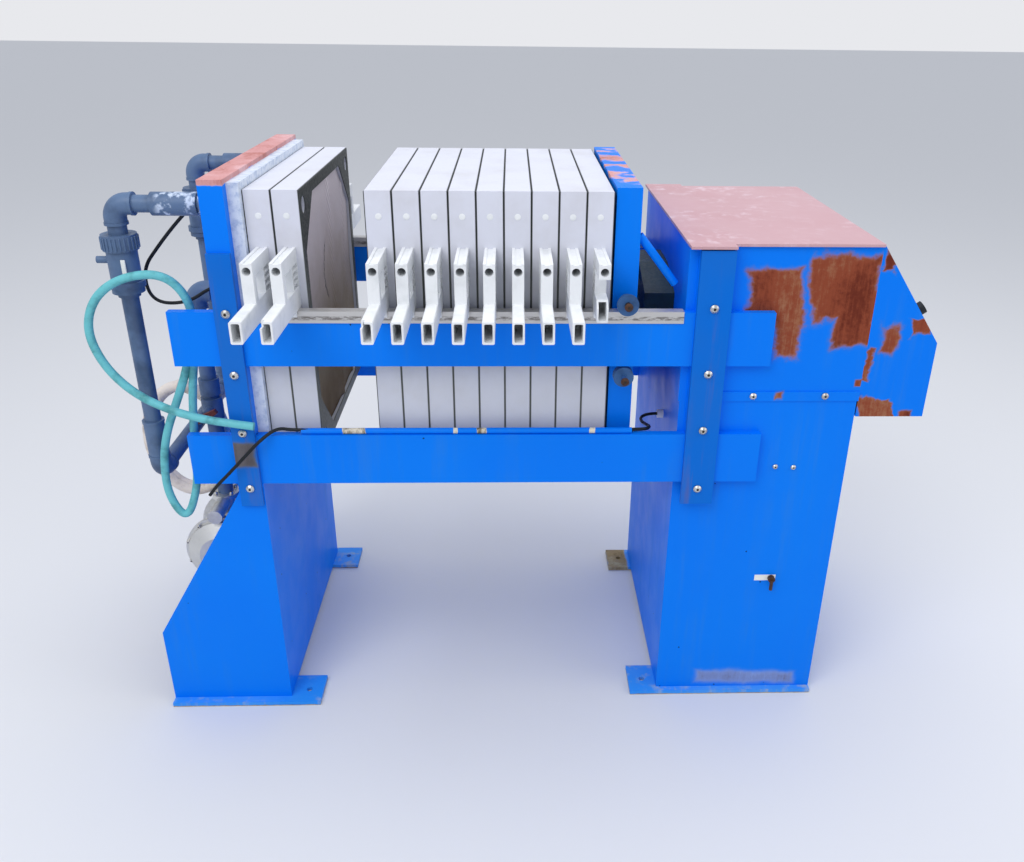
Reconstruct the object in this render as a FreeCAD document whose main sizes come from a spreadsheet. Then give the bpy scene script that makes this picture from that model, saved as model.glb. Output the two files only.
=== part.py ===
import FreeCAD, Part
import math
import os
import re

import Sketcher

# Plate filter press: two side bars each side carry a pack of recessed plates between
# a fixed head and a sliding follower that a hydraulic ram pushes.
# X runs along the press from the fixed head to the ram, Y to the back, Z up, in mm.

os.makedirs("parts", exist_ok=True)
doc = FreeCAD.newDocument("plate_filter_press")

PAIR_COUNT = 2
PACK_COUNT = 9
PLATE_COUNT = PAIR_COUNT + PACK_COUNT
CHIPPED = (2, 3)

DRIVING = {
    # filter plates, and where the middle of the pack stands
    "plate_width": 630, "plate_thick": 60, "plate_middle": 1033, "plate_edge": 2.5,
    "recess_margin": 27, "recess_corner": 111, "recess_deep": 14,
    "port_inset": 38, "port_bore": 38, "feed_bore": 56, "pack_gap": 136,
    # side bars, rails and straps
    "head_left": -682, "bar_thick": 20, "bar_deep": 127, "bar_past_head": 107,
    "bar_past_ram_head": 105, "plate_side_clear": 22, "upper_bar_drop": 69,
    "lower_bar_drop": 369, "rail_wall": 3, "rail_skirt": 24, "rail_short": 6,
    "strap_thick": 10, "strap_below": 56, "head_strap_above": 190, "ram_strap_above": 201,
    # fixed head and its face plate
    "head_thick": 52, "head_above": 27, "face_thick": 26, "face_proud": 17, "face_below": 16,
    # plate handles
    "handle_wide": 25, "window_high": 53, "arm_reach": 140, "arm_high": 32, "arm_bore": 18,
    "foot_reach": 260, "foot_high": 46.6, "foot_wall": 4, "leg_reach": 56, "web_thick": 22,
    "lug_deep": 10, "lug_thick": 8, "lug_clear": 5, "mouth_deep": 90, "broken_reach": 122,
    "rail_slip": 0.4, "cell_deep": 8, "cell_margin": 5, "cell_rib": 3.5,
    "groove_wide": 12, "groove_deep": 2.5, "stub_slope": 16, "chip_long": 20, "chip_high": 18,
    # follower and its rollers
    "follower_clear": 5, "follower_thick": 56, "follower_inset": 10, "follower_above": 7,
    "axle_radius": 7, "axle_proud": 20, "tread_radius": 17.5, "tread_wide": 26,
    "flange_radius": 24.5, "flange_thick": 7, "lower_tread_wide": 20,
    "lower_roller_radius": 23.5, "lower_roller_gap": 4, "axle_bore_clear": 0.4,
    "ram_radius": 40, "ram_length": 400, "ram_clear": 3, "boss_radius": 75, "boss_thick": 18,
    "lift_tube_radius": 9.5, "lift_tube_wall": 2, "lift_tube_side_in": 20, "lift_tube_rise": 215,
    # ram end: yoke, ram head and cylinder
    "ram_room": 106, "ram_head_set_in": 20, "ram_head_thick": 77,
    "yoke_thick": 72, "yoke_half": 190, "yoke_ridge_half": 60, "yoke_shoulder": 54,
    "yoke_ridge": 97, "barrel_radius": 72, "barrel_length": 300, "barrel_end": 25,
    # cabinet
    "cabinet_end_clear": 32, "wall": 6, "cabinet_above": 4, "cabinet_base_rise": 205,
    "cover_sheet": 3, "cover_hem": 24, "roof_thick": 6, "roof_lip": 4, "roof_side_lip": 5,
    "hood_reach": 162, "hood_slope_high": 231, "hood_drop": 41,
    "knob_radius": 15, "knob_long": 16, "knob_sunk": 2,
    # pedestals and feet
    "left_foot_proud": 23, "right_foot_proud": 17, "foot_wide": 106, "foot_thick": 12,
    "foot_hole": 16, "hole_from_end": 38, "hole_from_edge": 50, "left_foot_past": 80,
    "right_foot_past": 70, "pedestal_head_share": 55, "pedestal_reach": 310,
    "pedestal_shoulder": 226, "pedestal_neck": 60, "saddle_thick": 12,
    # pipework at the fixed head
    "pipe_radius": 19, "socket_radius": 24, "riser_out": 211, "feed_out": 163,
    "union_radius": 38, "union_high": 35, "check_radius": 33, "check_high": 70,
    "elbow_bend": 30, "socket_long": 45, "lip_long": 6, "lip_proud": 1.5,
    "coupling_out": 127, "coupling_long": 100,
    "adapter_radius": 30, "adapter_long": 20, "neck_long": 20, "nut_high": 26, "nut_proud": 6,
    "cock_radius": 8, "cock_long": 24, "cross_pipe_drop": 372, "riser_socket_long": 136,
    "feed_radius": 21, "feed_socket_radius": 27, "feed_collar_rise": 40,
    "valve_rise": 260, "valve_radius": 28, "valve_high": 60,
    "bonnet_radius": 13, "bonnet_out": 59, "stem_radius": 7, "stem_clear": 0.4, "stem_deep": 34,
    "grip_long": 70, "grip_wide": 18, "grip_thick": 12, "grip_clear": 3,
    # pump on its shelf
    "shelf_up": 128, "shelf_sheet": 5, "pump_foot": 25, "chamber_radius": 95,
    "chamber_thick": 48, "chamber_out": 118, "rim_radius": 105, "rim_thick": 14,
    "dome_thick": 22, "dome_radius": 58,
    "block_long": 120, "block_high": 130, "manifold_radius": 20, "flange_wide_radius": 38,
    "pump_flange_thick": 15,
    # conduit, gland and latch
    "conduit_radius": 7, "conduit_wall": 2, "conduit_left": -525, "conduit_short": 107,
    "gland_radius": 11, "gland_long": 15, "gland_across": -135, "gland_up": 746,
    "latch_along": 280, "latch_up": 369, "latch_radius": 9, "latch_long": 12, "latch_lever": 30,
    # hoses and cables
    "cable_radius": 4, "hose_radius": 9.5, "coil_hose_radius": 15, "coil_tall": 183,
    "coil_wide": 128, "coil_thick": 63, "coil_behind": 36, "coil_aside": 105, "coil_drop": 450,
}
WORKED_OUT = {
    "plate_half": "plate_width / 2",
    "plate_top": "plate_middle + plate_half",
    "plate_base": "plate_middle - plate_half",
    "port_across": "plate_half - port_inset",
    "port_high": "plate_top - port_inset",
    "port_low": "plate_base + port_inset",
    "half_apart": "plate_half + plate_side_clear",
    "bar_out": "half_apart + bar_thick",
    "strap_out": "bar_out + strap_thick",
    "upper_bar_base": "plate_middle - upper_bar_drop",
    "lower_bar_base": "plate_middle - lower_bar_drop",
    "rail_top": "upper_bar_base + bar_deep + rail_wall",
    "strap_base": "lower_bar_base - strap_below",
    "head_strap_top": "plate_middle + head_strap_above",
    "ram_strap_top": "plate_middle + ram_strap_above",
    "head_right": "head_left + head_thick",
    "head_base": "lower_bar_base",
    "head_top": "plate_top + head_above",
    "face_right": "head_right + face_thick",
    "pair_right": f"face_right + {PAIR_COUNT} * plate_thick",
    "pack_left": "pair_right + pack_gap",
    "pack_right": f"pack_left + {PACK_COUNT} * plate_thick",
    "foot_under": "rail_top + rail_slip",
    "foot_top": "foot_under + foot_high",
    "arm_under": "foot_top + window_high",
    "handle_top": "arm_under + arm_high",
    "follower_left": "pack_right + follower_clear",
    "follower_right": "follower_left + follower_thick",
    "follower_middle": "follower_left + follower_thick / 2",
    "follower_half": "plate_half - follower_inset",
    "follower_top": "plate_top + follower_above",
    "follower_base": "plate_base - follower_inset",
    "upper_axle_up": "foot_under + tread_radius",
    "lower_axle_up": "upper_bar_base - lower_roller_gap - lower_roller_radius",
    "cabinet_left": "follower_right + ram_room",
    "ram_head_left": "cabinet_left + ram_head_set_in",
    "ram_head_right": "ram_head_left + ram_head_thick",
    "ram_head_top": "ram_strap_top",
    "ram_head_base": "lower_bar_base",
    "cabinet_right": "ram_head_right + barrel_length + cabinet_end_clear",
    "cabinet_top": "ram_head_top + cabinet_above",
    "cabinet_base": "lower_bar_base + cabinet_base_rise",
    "cabinet_foot_right": "cabinet_right - wall / 2",
    "roof_top": "cabinet_top + roof_thick",
    "hood_right": "cabinet_right + hood_reach",
    "hood_knee": "roof_top - hood_slope_high",
    "hood_base": "cabinet_base - hood_drop",
    "bar_left": "head_left - bar_past_head",
    "bar_length": "ram_head_right + bar_past_ram_head - bar_left",
    "rail_right": "cabinet_left - rail_short",
    "pedestal_right": "head_left + pedestal_head_share",
    "pedestal_left": "pedestal_right - pedestal_reach",
    "riser_left": "head_left - riser_out",
    "feed_left": "head_left - feed_out",
    "cross_pipe_up": "plate_middle - cross_pipe_drop",
    "riser_socket_top": "cross_pipe_up + riser_socket_long",
    "union_base": "port_high - socket_long - neck_long - union_high",
    "riser_top": "union_base - check_high - nut_high",
    "pump_middle": "shelf_up + shelf_sheet + pump_foot + rim_radius + 2 * manifold_radius",
    "pump_top": "pump_middle + rim_radius + 2 * manifold_radius",
    "valve_up": "pump_top + valve_rise",
    "conduit_up": "lower_bar_base + bar_deep + conduit_radius",
    "conduit_right": "cabinet_left - conduit_short",
}

sheet = doc.addObject("Spreadsheet::Sheet", "Sizes")
for row, (alias, size) in enumerate(DRIVING.items(), start=1):
    sheet.set(f"A{row}", alias)
    sheet.set(f"B{row}", str(size))
    sheet.setAlias(f"B{row}", alias)
for row, (alias, rule) in enumerate(WORKED_OUT.items(), start=1):
    sheet.set(f"D{row}", alias)
    sheet.setAlias(f"E{row}", alias)
    sheet.set(f"E{row}", f"={rule}")
doc.recompute()

ALIASES = set(DRIVING) | set(WORKED_OUT)


def rule(text):
    """The expression that reads this formula's sizes from the sheet."""
    return re.sub(r"[a-z_]+", lambda word: f"Sizes.{word.group()}" if word.group() in ALIASES
                  else word.group(), str(text))


def size(text):
    """What a formula comes to now."""
    return float(sheet.evalExpression(str(text)))


def tie(thing, **rules):
    """Bind properties of an object to formulas."""
    for name, text in rules.items():
        thing.setExpression(name, rule(text))
    return thing


def put(thing, x="0", y="0", z="0"):
    """Bind where an object stands."""
    for axis, text in zip("xyz", (x, y, z)):
        thing.setExpression(f"Placement.Base.{axis}", rule(text))
    return thing


def box(name, length, width, height, x, y, z):
    block = tie(doc.addObject("Part::Box", name), Length=length, Width=width, Height=height)
    return put(block, x, y, z)


TURNS = {
    "x": FreeCAD.Rotation(FreeCAD.Vector(0, 1, 0), 90),
    "y": FreeCAD.Rotation(FreeCAD.Vector(1, 0, 0), -90),
    "z": FreeCAD.Rotation(),
}


def rod(name, radius, height, x, y, z, along="z"):
    """A cylinder that starts at a place and runs along +X, +Y or +Z."""
    cylinder = tie(doc.addObject("Part::Cylinder", name), Radius=radius, Height=height)
    cylinder.Placement = FreeCAD.Placement(FreeCAD.Vector(), TURNS[along])
    return put(cylinder, x, y, z)


def cut(name, base, *tools):
    result = base
    for number, tool in enumerate(tools, start=1):
        last = number == len(tools)
        step = doc.addObject("Part::Cut", name if last else f"{name}_step_{number}")
        step.Base, step.Tool = result, tool
        result = step
    return result


def fuse(name, *pieces):
    joined = doc.addObject("Part::MultiFuse", name)
    joined.Shapes = list(pieces)
    joined.Refine = True
    return joined


def group(name, *pieces):
    """Solids that don't touch, kept as one sub-part."""
    together = doc.addObject("Part::Compound", name)
    together.Links = list(pieces)
    return together


def mirrored(name, source):
    """The same piece on the other side of the press's middle plane."""
    twin = doc.addObject("Part::Mirroring", name)
    twin.Source = source
    twin.Normal = FreeCAD.Vector(0, 1, 0)
    return twin


def both_sides(name, front):
    return group(name, front, mirrored(f"{name}_twin", front))


def sketch(body, name, plane, loops, circles=(), offset="0"):
    """Closed loops of straight lines, and circles, whose points are bound to formulas."""
    drawing = body.newObject("Sketcher::SketchObject", name)
    origin_plane = [item for item in body.Origin.OriginFeatures if item.Role == plane][0]
    drawing.AttachmentSupport = [(origin_plane, "")]
    drawing.MapMode = "FlatFace"
    drawing.setExpression("AttachmentOffset.Base.z", rule(offset))

    def hold(kind, geometry, point, text, now):
        index = drawing.addConstraint(Sketcher.Constraint(kind, -1, 1, geometry, point, now))
        drawing.setExpression(f"Constraints[{index}]", rule(text))

    for loop in loops:
        corners = [FreeCAD.Vector(size(a), size(b), 0) for a, b in loop]
        first = drawing.GeometryCount
        for number, corner in enumerate(corners):
            drawing.addGeometry(Part.LineSegment(corner, corners[(number + 1) % len(corners)]))
        for number, (a, b) in enumerate(loop):
            following = first + (number + 1) % len(loop)
            drawing.addConstraint(Sketcher.Constraint("Coincident", first + number, 2, following, 1))
            hold("DistanceX", first + number, 1, a, corners[number].x)
            hold("DistanceY", first + number, 1, b, corners[number].y)
    for a, b, radius in circles:
        middle = FreeCAD.Vector(size(a), size(b), 0)
        circle = drawing.addGeometry(Part.Circle(middle, FreeCAD.Vector(0, 0, 1), size(radius)))
        hold("DistanceX", circle, 3, a, middle.x)
        hold("DistanceY", circle, 3, b, middle.y)
        index = drawing.addConstraint(Sketcher.Constraint("Radius", circle, size(radius)))
        drawing.setExpression(f"Constraints[{index}]", rule(radius))
    return drawing


def pad(body, name, drawing, length, midplane=False, backwards=False):
    feature = body.newObject("PartDesign::Pad", name)
    feature.Profile = drawing
    feature.Midplane = midplane
    feature.Reversed = backwards
    return tie(feature, Length=length)


def pocket(body, name, drawing, depth, midplane=False, backwards=False):
    feature = body.newObject("PartDesign::Pocket", name)
    feature.Profile = drawing
    feature.Midplane = midplane
    feature.Reversed = backwards
    return tie(feature, Length=depth)


def rectangle(left, low, right, high):
    return [(left, low), (right, low), (right, high), (left, high)]


def new_body(name):
    return doc.addObject("PartDesign::Body", name)


# ---------------------------------------------------------------- side bars and rails

def side_bar(name, base):
    return box(name, "bar_length", "bar_thick", "bar_deep", "bar_left", "-bar_out", base)


def rail():
    cap = box("rail_cap", "rail_right - face_right", "bar_thick + 2 * rail_wall",
              "rail_skirt + rail_wall", "face_right", "-bar_out - rail_wall",
              "rail_top - rail_skirt - rail_wall")
    bar_room = box("rail_room", "rail_right - face_right", "bar_thick", "rail_skirt",
                   "face_right", "-bar_out", "rail_top - rail_skirt - rail_wall")
    return cut("rail", cap, bar_room)


def strap(name, left, width, base, top):
    return box(name, width, "strap_thick", f"{top} - {base}", left, "-strap_out", base)


upper_bars = both_sides("upper_bars", side_bar("upper_bar", "upper_bar_base"))
lower_bars = both_sides("lower_bars", side_bar("lower_bar", "lower_bar_base"))
rails = both_sides("rails", rail())
head_straps = both_sides("head_straps", strap("head_strap", "head_left", "head_thick",
                                              "strap_base", "head_strap_top"))
ram_straps = both_sides("ram_straps", strap("ram_strap", "ram_head_left", "ram_head_thick",
                                            "strap_base", "ram_strap_top"))


# ---------------------------------------------------------------- heads

def bar_notches():
    """The four seats that the side bars lie in, seen along the press."""
    return [rectangle(left, base, right, f"{base} + bar_deep")
            for base in ("upper_bar_base", "lower_bar_base")
            for left, right in (("-bar_out", "-half_apart"), ("half_apart", "bar_out"))]


def ports():
    """The feed eye and the four corner ports, as sketch circles."""
    corners = [(f"{side}port_across", up, "port_bore / 2")
               for side in ("-", "") for up in ("port_low", "port_high")]
    return corners + [("0", "plate_middle", "feed_bore / 2")]


def fixed_head():
    body = new_body("fixed_head")
    outline = sketch(body, "head_outline", "YZ_Plane",
                     [rectangle("-bar_out", "head_base", "bar_out", "head_top")])
    pad(body, "head_slab", outline, "head_thick")
    pocket(body, "head_seats", sketch(body, "head_notches", "YZ_Plane", bar_notches()),
           "head_thick", backwards=True)
    pocket(body, "head_ports", sketch(body, "head_port_circles", "YZ_Plane", [], ports()),
           "head_thick", backwards=True)
    return put(body, "head_left")


def face_plate():
    body = new_body("face_plate")
    outline = sketch(body, "face_outline", "YZ_Plane",
                     [rectangle("-plate_half - face_proud", "plate_base - face_below",
                                "plate_half + face_proud", "plate_top + face_proud")], ports())
    pad(body, "face_slab", outline, "face_thick")
    return put(body, "head_right")


def ram_head():
    body = new_body("ram_head")
    outline = sketch(body, "ram_head_outline", "YZ_Plane",
                     [rectangle("-bar_out", "ram_head_base", "bar_out", "ram_head_top")],
                     [("0", "plate_middle", "ram_radius + ram_clear")])
    pad(body, "ram_head_slab", outline, "ram_head_thick")
    pocket(body, "ram_head_seats", sketch(body, "ram_head_notches", "YZ_Plane", bar_notches()),
           "ram_head_thick", backwards=True)
    return put(body, "ram_head_left")


head = fixed_head()
face = face_plate()
back_head = ram_head()


# ---------------------------------------------------------------- filter plates

def filter_plate():
    """A recessed plate: a chamber with cut corners in each face, a feed eye and four ports."""
    body = new_body("filter_plate_01")
    square = sketch(body, "plate_outline", "YZ_Plane",
                    [rectangle("-plate_half", "plate_base", "plate_half", "plate_top")])
    slab = pad(body, "plate_slab", square, "plate_thick")
    doc.recompute()
    rims = [f"Edge{number}" for number, edge in enumerate(slab.Shape.Edges, start=1)
            if edge.BoundBox.XLength < 0.001]
    bevel = body.newObject("PartDesign::Chamfer", "plate_bevel")
    bevel.Base = (slab, rims)
    tie(bevel, Size="plate_edge")
    side, low, high = ("plate_half - recess_margin", "plate_base + recess_margin",
                       "plate_top - recess_margin")
    inner = "plate_half - recess_margin - recess_corner"
    chamber = [(f"-({inner})", low), (inner, low), (side, f"{low} + recess_corner"),
               (side, f"{high} - recess_corner"), (inner, high), (f"-({inner})", high),
               (f"-({side})", f"{high} - recess_corner"), (f"-({side})", f"{low} + recess_corner")]
    pocket(body, "near_chamber", sketch(body, "near_recess", "YZ_Plane", [chamber]),
           "recess_deep", backwards=True)
    pocket(body, "far_chamber",
           sketch(body, "far_recess", "YZ_Plane", [chamber], offset="plate_thick"), "recess_deep")
    pocket(body, "plate_ports", sketch(body, "plate_port_circles", "YZ_Plane", [], ports()),
           "plate_thick", backwards=True)
    return put(body, "face_right")


def lugs():
    """The two lugs under a handle's foot that keep it on the rail, from the plate outwards."""
    points = []
    for near in ("-half_apart + rail_wall + lug_clear + lug_thick", "-bar_out - rail_wall - lug_clear"):
        points += [(near, "foot_under"), (near, "foot_under - lug_deep"),
                   (f"{near} - lug_thick", "foot_under - lug_deep"),
                   (f"{near} - lug_thick", "foot_under")]
    return points


def handle(name, foot_reach, outline, holes=()):
    """One moulded handle on a plate's front edge, drawn from the side, with ribbed cells
    in its inner leg, a groove along its arm and a hollow foot."""
    body = new_body(name)
    pad(body, f"{name}_blade", sketch(body, f"{name}_profile", "YZ_Plane", [outline, *holes]),
        "handle_wide", midplane=True)
    pitch = "(window_high + cell_rib) / 4"
    cells = [rectangle("-plate_half - leg_reach + cell_margin", f"foot_top + {row} * {pitch}",
                       "-plate_half - cell_margin", f"foot_top + {row + 1} * {pitch} - cell_rib")
             for row in range(4)]
    for word, offset, backwards in (("near", "handle_wide / 2", False),
                                    ("far", "-handle_wide / 2", True)):
        pocket(body, f"{name}_cells_{word}",
               sketch(body, f"{name}_cell_rows_{word}", "YZ_Plane", cells, offset=offset),
               "cell_deep", backwards=backwards)
    groove = rectangle("-groove_wide / 2", "-plate_half - arm_reach", "groove_wide / 2",
                       "-plate_half")
    pocket(body, f"{name}_groove", sketch(body, f"{name}_groove_line", "XY_Plane", [groove],
                                          offset="handle_top"), "groove_deep")
    pocket(body, f"{name}_arm_bore",
           sketch(body, f"{name}_arm_circle", "XZ_Plane", [],
                  [("0", "arm_under + arm_high / 2 - groove_deep / 2", "arm_bore / 2")],
                  offset="plate_half + arm_reach"), "arm_reach / 2")
    mouth = pocket(body, f"{name}_mouth_bore",
                   sketch(body, f"{name}_mouth", "XZ_Plane",
                          [rectangle("-handle_wide / 2 + foot_wall", "foot_under + foot_wall",
                                     "handle_wide / 2 - foot_wall", "foot_top - foot_wall")],
                          offset=f"plate_half + {foot_reach}"), "mouth_deep")
    doc.recompute()
    tip = -size(f"plate_half + {foot_reach}")
    corners = []
    for number, edge in enumerate(mouth.Shape.Edges, start=1):
        bounds = edge.BoundBox
        if (bounds.YMin < tip + 0.01 < bounds.YMax - 1 and bounds.XLength < 0.01
                and bounds.ZLength < 0.01 and bounds.ZMin < size("foot_top") + 0.01):
            corners.append(f"Edge{number}")
    rounding = body.newObject("PartDesign::Fillet", f"{name}_rounding")
    rounding.Base = (mouth, corners)
    tie(rounding, Radius="foot_wall - 0.5")
    return body


def whole_outline():
    return [("-plate_half", "handle_top"), ("-plate_half", "foot_under"), *lugs(),
            ("-plate_half - foot_reach", "foot_under"), ("-plate_half - foot_reach", "foot_top"),
            ("-plate_half - arm_reach", "foot_top"), ("-plate_half - arm_reach", "handle_top")]


def broken_outline():
    """The handle that lost its outer web and the end of its foot."""
    stub, leg = "-plate_half - broken_reach", "-plate_half - leg_reach"
    return [("-plate_half", "handle_top"), ("-plate_half", "foot_under"), *lugs(),
            (stub, "foot_under"), (stub, "foot_top - stub_slope"),
            (f"{stub} + stub_slope", "foot_top"), (leg, "foot_top"), (leg, "arm_under"),
            ("-plate_half - arm_reach", "arm_under"), ("-plate_half - arm_reach", "handle_top")]


first_plate = filter_plate()


def copy_of(name, source, x):
    """A linked copy of a piece, moved along the press."""
    twin = doc.addObject("App::Link", name)
    twin.LinkedObject = source
    twin.LinkTransform = True
    return put(twin, x)


plates = [first_plate]
plates.append(copy_of("filter_plate_02", first_plate, "plate_thick"))
for number in range(PAIR_COUNT + 1, PLATE_COUNT + 1):
    plates.append(copy_of(f"filter_plate_{number:02d}", first_plate,
                          f"pack_left - face_right + {number - PAIR_COUNT - 1} * plate_thick"))

handle_window = rectangle("-plate_half - arm_reach + web_thick", "foot_top",
                          "-plate_half - leg_reach", "arm_under")
whole_handle = handle("handle_front", "foot_reach", whole_outline(), [handle_window])
broken_handle = handle("broken_handle", "broken_reach", broken_outline())
rear_handle = mirrored("rear_handle", whole_handle)


def handle_place(number):
    if number <= PAIR_COUNT:
        return f"face_right + {number - 0.5} * plate_thick"
    return f"pack_left + {number - PAIR_COUNT - 0.5} * plate_thick"


def chipped(number, handle_copy):
    """A handle whose foot has lost the upper left corner of its mouth."""
    chip = box(f"mouth_chip_{number}", "handle_wide / 2", "chip_long", "chip_high",
               f"{handle_place(number)} - handle_wide / 2 - foot_wall",
               "-plate_half - foot_reach - foot_wall", "foot_top - chip_high + foot_wall")
    return cut(f"chipped_handle_{number}", handle_copy, chip)


front_handles = []
for number in range(1, PLATE_COUNT):
    front = copy_of(f"front_handle_{number}", whole_handle, handle_place(number))
    front_handles.append(chipped(number, front) if number in CHIPPED else front)
front_handles.append(copy_of("front_handle_last", broken_handle, handle_place(PLATE_COUNT)))
rear_handles = [copy_of(f"rear_handle_{number}", rear_handle, handle_place(number))
                for number in range(1, PLATE_COUNT + 1)]
pair_handles = group("pair_handles", *front_handles[:PAIR_COUNT], *rear_handles[:PAIR_COUNT])
pack_handles_front = group("pack_handles_front", *front_handles[PAIR_COUNT:])
pack_handles_rear = group("pack_handles_rear", *rear_handles[PAIR_COUNT:])


# ---------------------------------------------------------------- follower

def follower_plate():
    slab = box("follower_slab", "follower_thick", "2 * follower_half", "follower_top - follower_base",
               "follower_left", "-follower_half", "follower_base")
    boss = rod("ram_boss", "boss_radius", "boss_thick", "follower_right", "0", "plate_middle", "x")
    return fuse("follower", slab, boss)


def axle(name, up):
    return rod(name, "axle_radius", "strap_out - follower_half + axle_proud",
               "follower_middle", "-strap_out - axle_proud", up, "y")


def upper_roller():
    """A tread that runs on the rail, with a flange down its outer side."""
    tread = rod("tread", "tread_radius", "tread_wide", "follower_middle", "-half_apart - tread_wide",
                "upper_axle_up", "y")
    flange = rod("flange", "flange_radius", "flange_thick", "follower_middle",
                 "-half_apart - tread_wide - flange_thick", "upper_axle_up", "y")
    bore = rod("roller_bore", "axle_radius + axle_bore_clear", "2 * tread_wide",
               "follower_middle", "-half_apart - 2 * tread_wide", "upper_axle_up", "y")
    return cut("roller_front", fuse("roller_solid", tread, flange), bore)


def lower_roller():
    wheel = rod("lower_wheel", "lower_roller_radius", "lower_tread_wide", "follower_middle",
                "-half_apart - lower_tread_wide", "lower_axle_up", "y")
    return fuse("lower_roller", wheel, axle("lower_axle", "lower_axle_up"))


follower = follower_plate()
roller_front = upper_roller()
roller_rear = mirrored("roller_rear", roller_front)
upper_axles = both_sides("upper_axles", axle("upper_axle", "upper_axle_up"))
lower_rollers = both_sides("lower_rollers", lower_roller())
ram = rod("ram", "ram_radius", "ram_length", "follower_right + boss_thick", "0",
          "plate_middle", "x")


# ---------------------------------------------------------------- yoke, cylinder, cabinet

def yoke():
    body = new_body("ram_yoke")
    half, ridge = "yoke_half", "yoke_ridge_half"
    up, peak = "plate_middle + yoke_shoulder", "plate_middle + yoke_ridge"
    down, foot = "plate_middle - yoke_shoulder", "plate_middle - yoke_ridge"
    outline = [(f"-{half}", down), (f"-{ridge}", foot), (ridge, foot), (half, down),
               (half, up), (ridge, peak), (f"-{ridge}", peak), (f"-{half}", up)]
    profile = sketch(body, "yoke_outline", "YZ_Plane", [outline],
                     [("0", "plate_middle", "ram_radius + ram_clear")])
    pad(body, "yoke_slab", profile, "yoke_thick")
    return put(body, "cabinet_left - yoke_thick")


def cylinder():
    barrel = rod("barrel", "barrel_radius", "barrel_length", "ram_head_right", "0",
                 "plate_middle", "x")
    room = rod("barrel_room", "ram_radius + ram_clear", "barrel_length - barrel_end",
               "ram_head_right", "0", "plate_middle", "x")
    return cut("hydraulic_cylinder", barrel, room)


def ram_head_room(name):
    return box(name, "ram_head_thick", "2 * strap_out", "ram_head_top - ram_head_base",
               "ram_head_left", "-strap_out", "ram_head_base")


def cabinet():
    shell = box("cabinet_block", "cabinet_right - cabinet_left", "2 * half_apart",
                "cabinet_top - cabinet_base", "cabinet_left", "-half_apart", "cabinet_base")
    room = box("cabinet_room", "cabinet_right - cabinet_left - wall", "2 * (half_apart - wall)",
               "cabinet_top - cabinet_base", "cabinet_left + wall", "-half_apart + wall",
               "cabinet_base")
    bore = rod("cabinet_bore", "ram_radius + ram_clear", "2 * wall", "cabinet_left - wall / 2",
               "0", "plate_middle", "x")
    return cut("cabinet_frame", shell, room, bore, ram_head_room("cabinet_head_room"))


def side_cover():
    hem = box("cover_hem", "cabinet_right - ram_head_right", "cover_sheet", "cover_hem",
              "ram_head_right", "-half_apart - cover_sheet", "cabinet_base")
    return both_sides("cover_hems", hem)


def roof():
    wide = box("roof_wide", "ram_head_right - cabinet_left + roof_lip",
               "2 * (strap_out + roof_side_lip)", "roof_thick", "cabinet_left - roof_lip",
               "-strap_out - roof_side_lip", "cabinet_top")
    narrow = box("roof_narrow", "cabinet_right - ram_head_right",
                 "2 * (half_apart + cover_sheet + roof_side_lip)", "roof_thick",
                 "ram_head_right", "-half_apart - cover_sheet - roof_side_lip", "cabinet_top")
    return fuse("roof", wide, narrow)


def hood():
    """The wedge behind the cabinet, folded from sheet and open towards it."""
    body = new_body("rear_hood")
    outline = [("cabinet_right", "hood_base"), ("hood_right", "hood_base"),
               ("hood_right", "hood_knee"), ("cabinet_right", "roof_top")]
    pad(body, "hood_block", sketch(body, "hood_outline", "XZ_Plane", [outline]), "2 * half_apart",
        midplane=True)
    inside = [("cabinet_right", "hood_base + cover_sheet"),
              ("hood_right - cover_sheet", "hood_base + cover_sheet"),
              ("hood_right - cover_sheet", "hood_knee - cover_sheet"),
              ("cabinet_right", "cabinet_top - 2 * cover_sheet")]
    pocket(body, "hood_room", sketch(body, "hood_inside", "XZ_Plane", [inside]),
           "2 * (half_apart - cover_sheet)", midplane=True)
    return body


def knob():
    slope = math.degrees(math.atan2(size("hood_slope_high"),
                                    size("hood_reach")))
    grip = tie(doc.addObject("Part::Cylinder", "knob_grip"), Radius="knob_radius",
               Height="knob_long")
    turn = FreeCAD.Rotation(FreeCAD.Vector(0, 1, 0), slope)
    grip.Placement = FreeCAD.Placement(FreeCAD.Vector(), turn)
    put(grip, "cabinet_right + hood_reach * 0.7", "-half_apart + 2 * knob_radius",
        "hood_knee + hood_slope_high * 0.3")
    grip.Label = "knob"
    return grip


ram_yoke = yoke()
hydraulic_cylinder = cylinder()
cabinet_frame = cabinet()
cover_hems = side_cover()
cabinet_roof = roof()
rear_hood = hood()
hood_knob = knob()


# ---------------------------------------------------------------- pedestals and feet

def left_pedestal():
    """Two side plates with a sloping edge, joined by the inner plate and a saddle."""
    body = new_body("pedestal_shell")
    neck = "pedestal_right - pedestal_neck"
    outline = [("pedestal_left", "foot_thick"), ("pedestal_right", "foot_thick"),
               ("pedestal_right", "head_base"), (neck, "head_base"),
               (neck, "head_base - 2 * saddle_thick"), ("pedestal_left", "pedestal_shoulder")]
    pad(body, "pedestal_block", sketch(body, "pedestal_outline", "XZ_Plane", [outline]),
        "2 * bar_out", midplane=True)
    inside = rectangle("pedestal_left - wall", "0", "pedestal_right - wall",
                       "head_base - saddle_thick")
    pocket(body, "pedestal_room", sketch(body, "pedestal_inside", "XZ_Plane", [inside]),
           "2 * (bar_out - wall)", midplane=True)
    shelf = box("pump_shelf", "pedestal_reach - wall / 2", "2 * bar_out - wall", "shelf_sheet",
                "pedestal_left", "-bar_out + wall / 2", "shelf_up")
    return fuse("left_pedestal", body, shelf)


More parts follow.
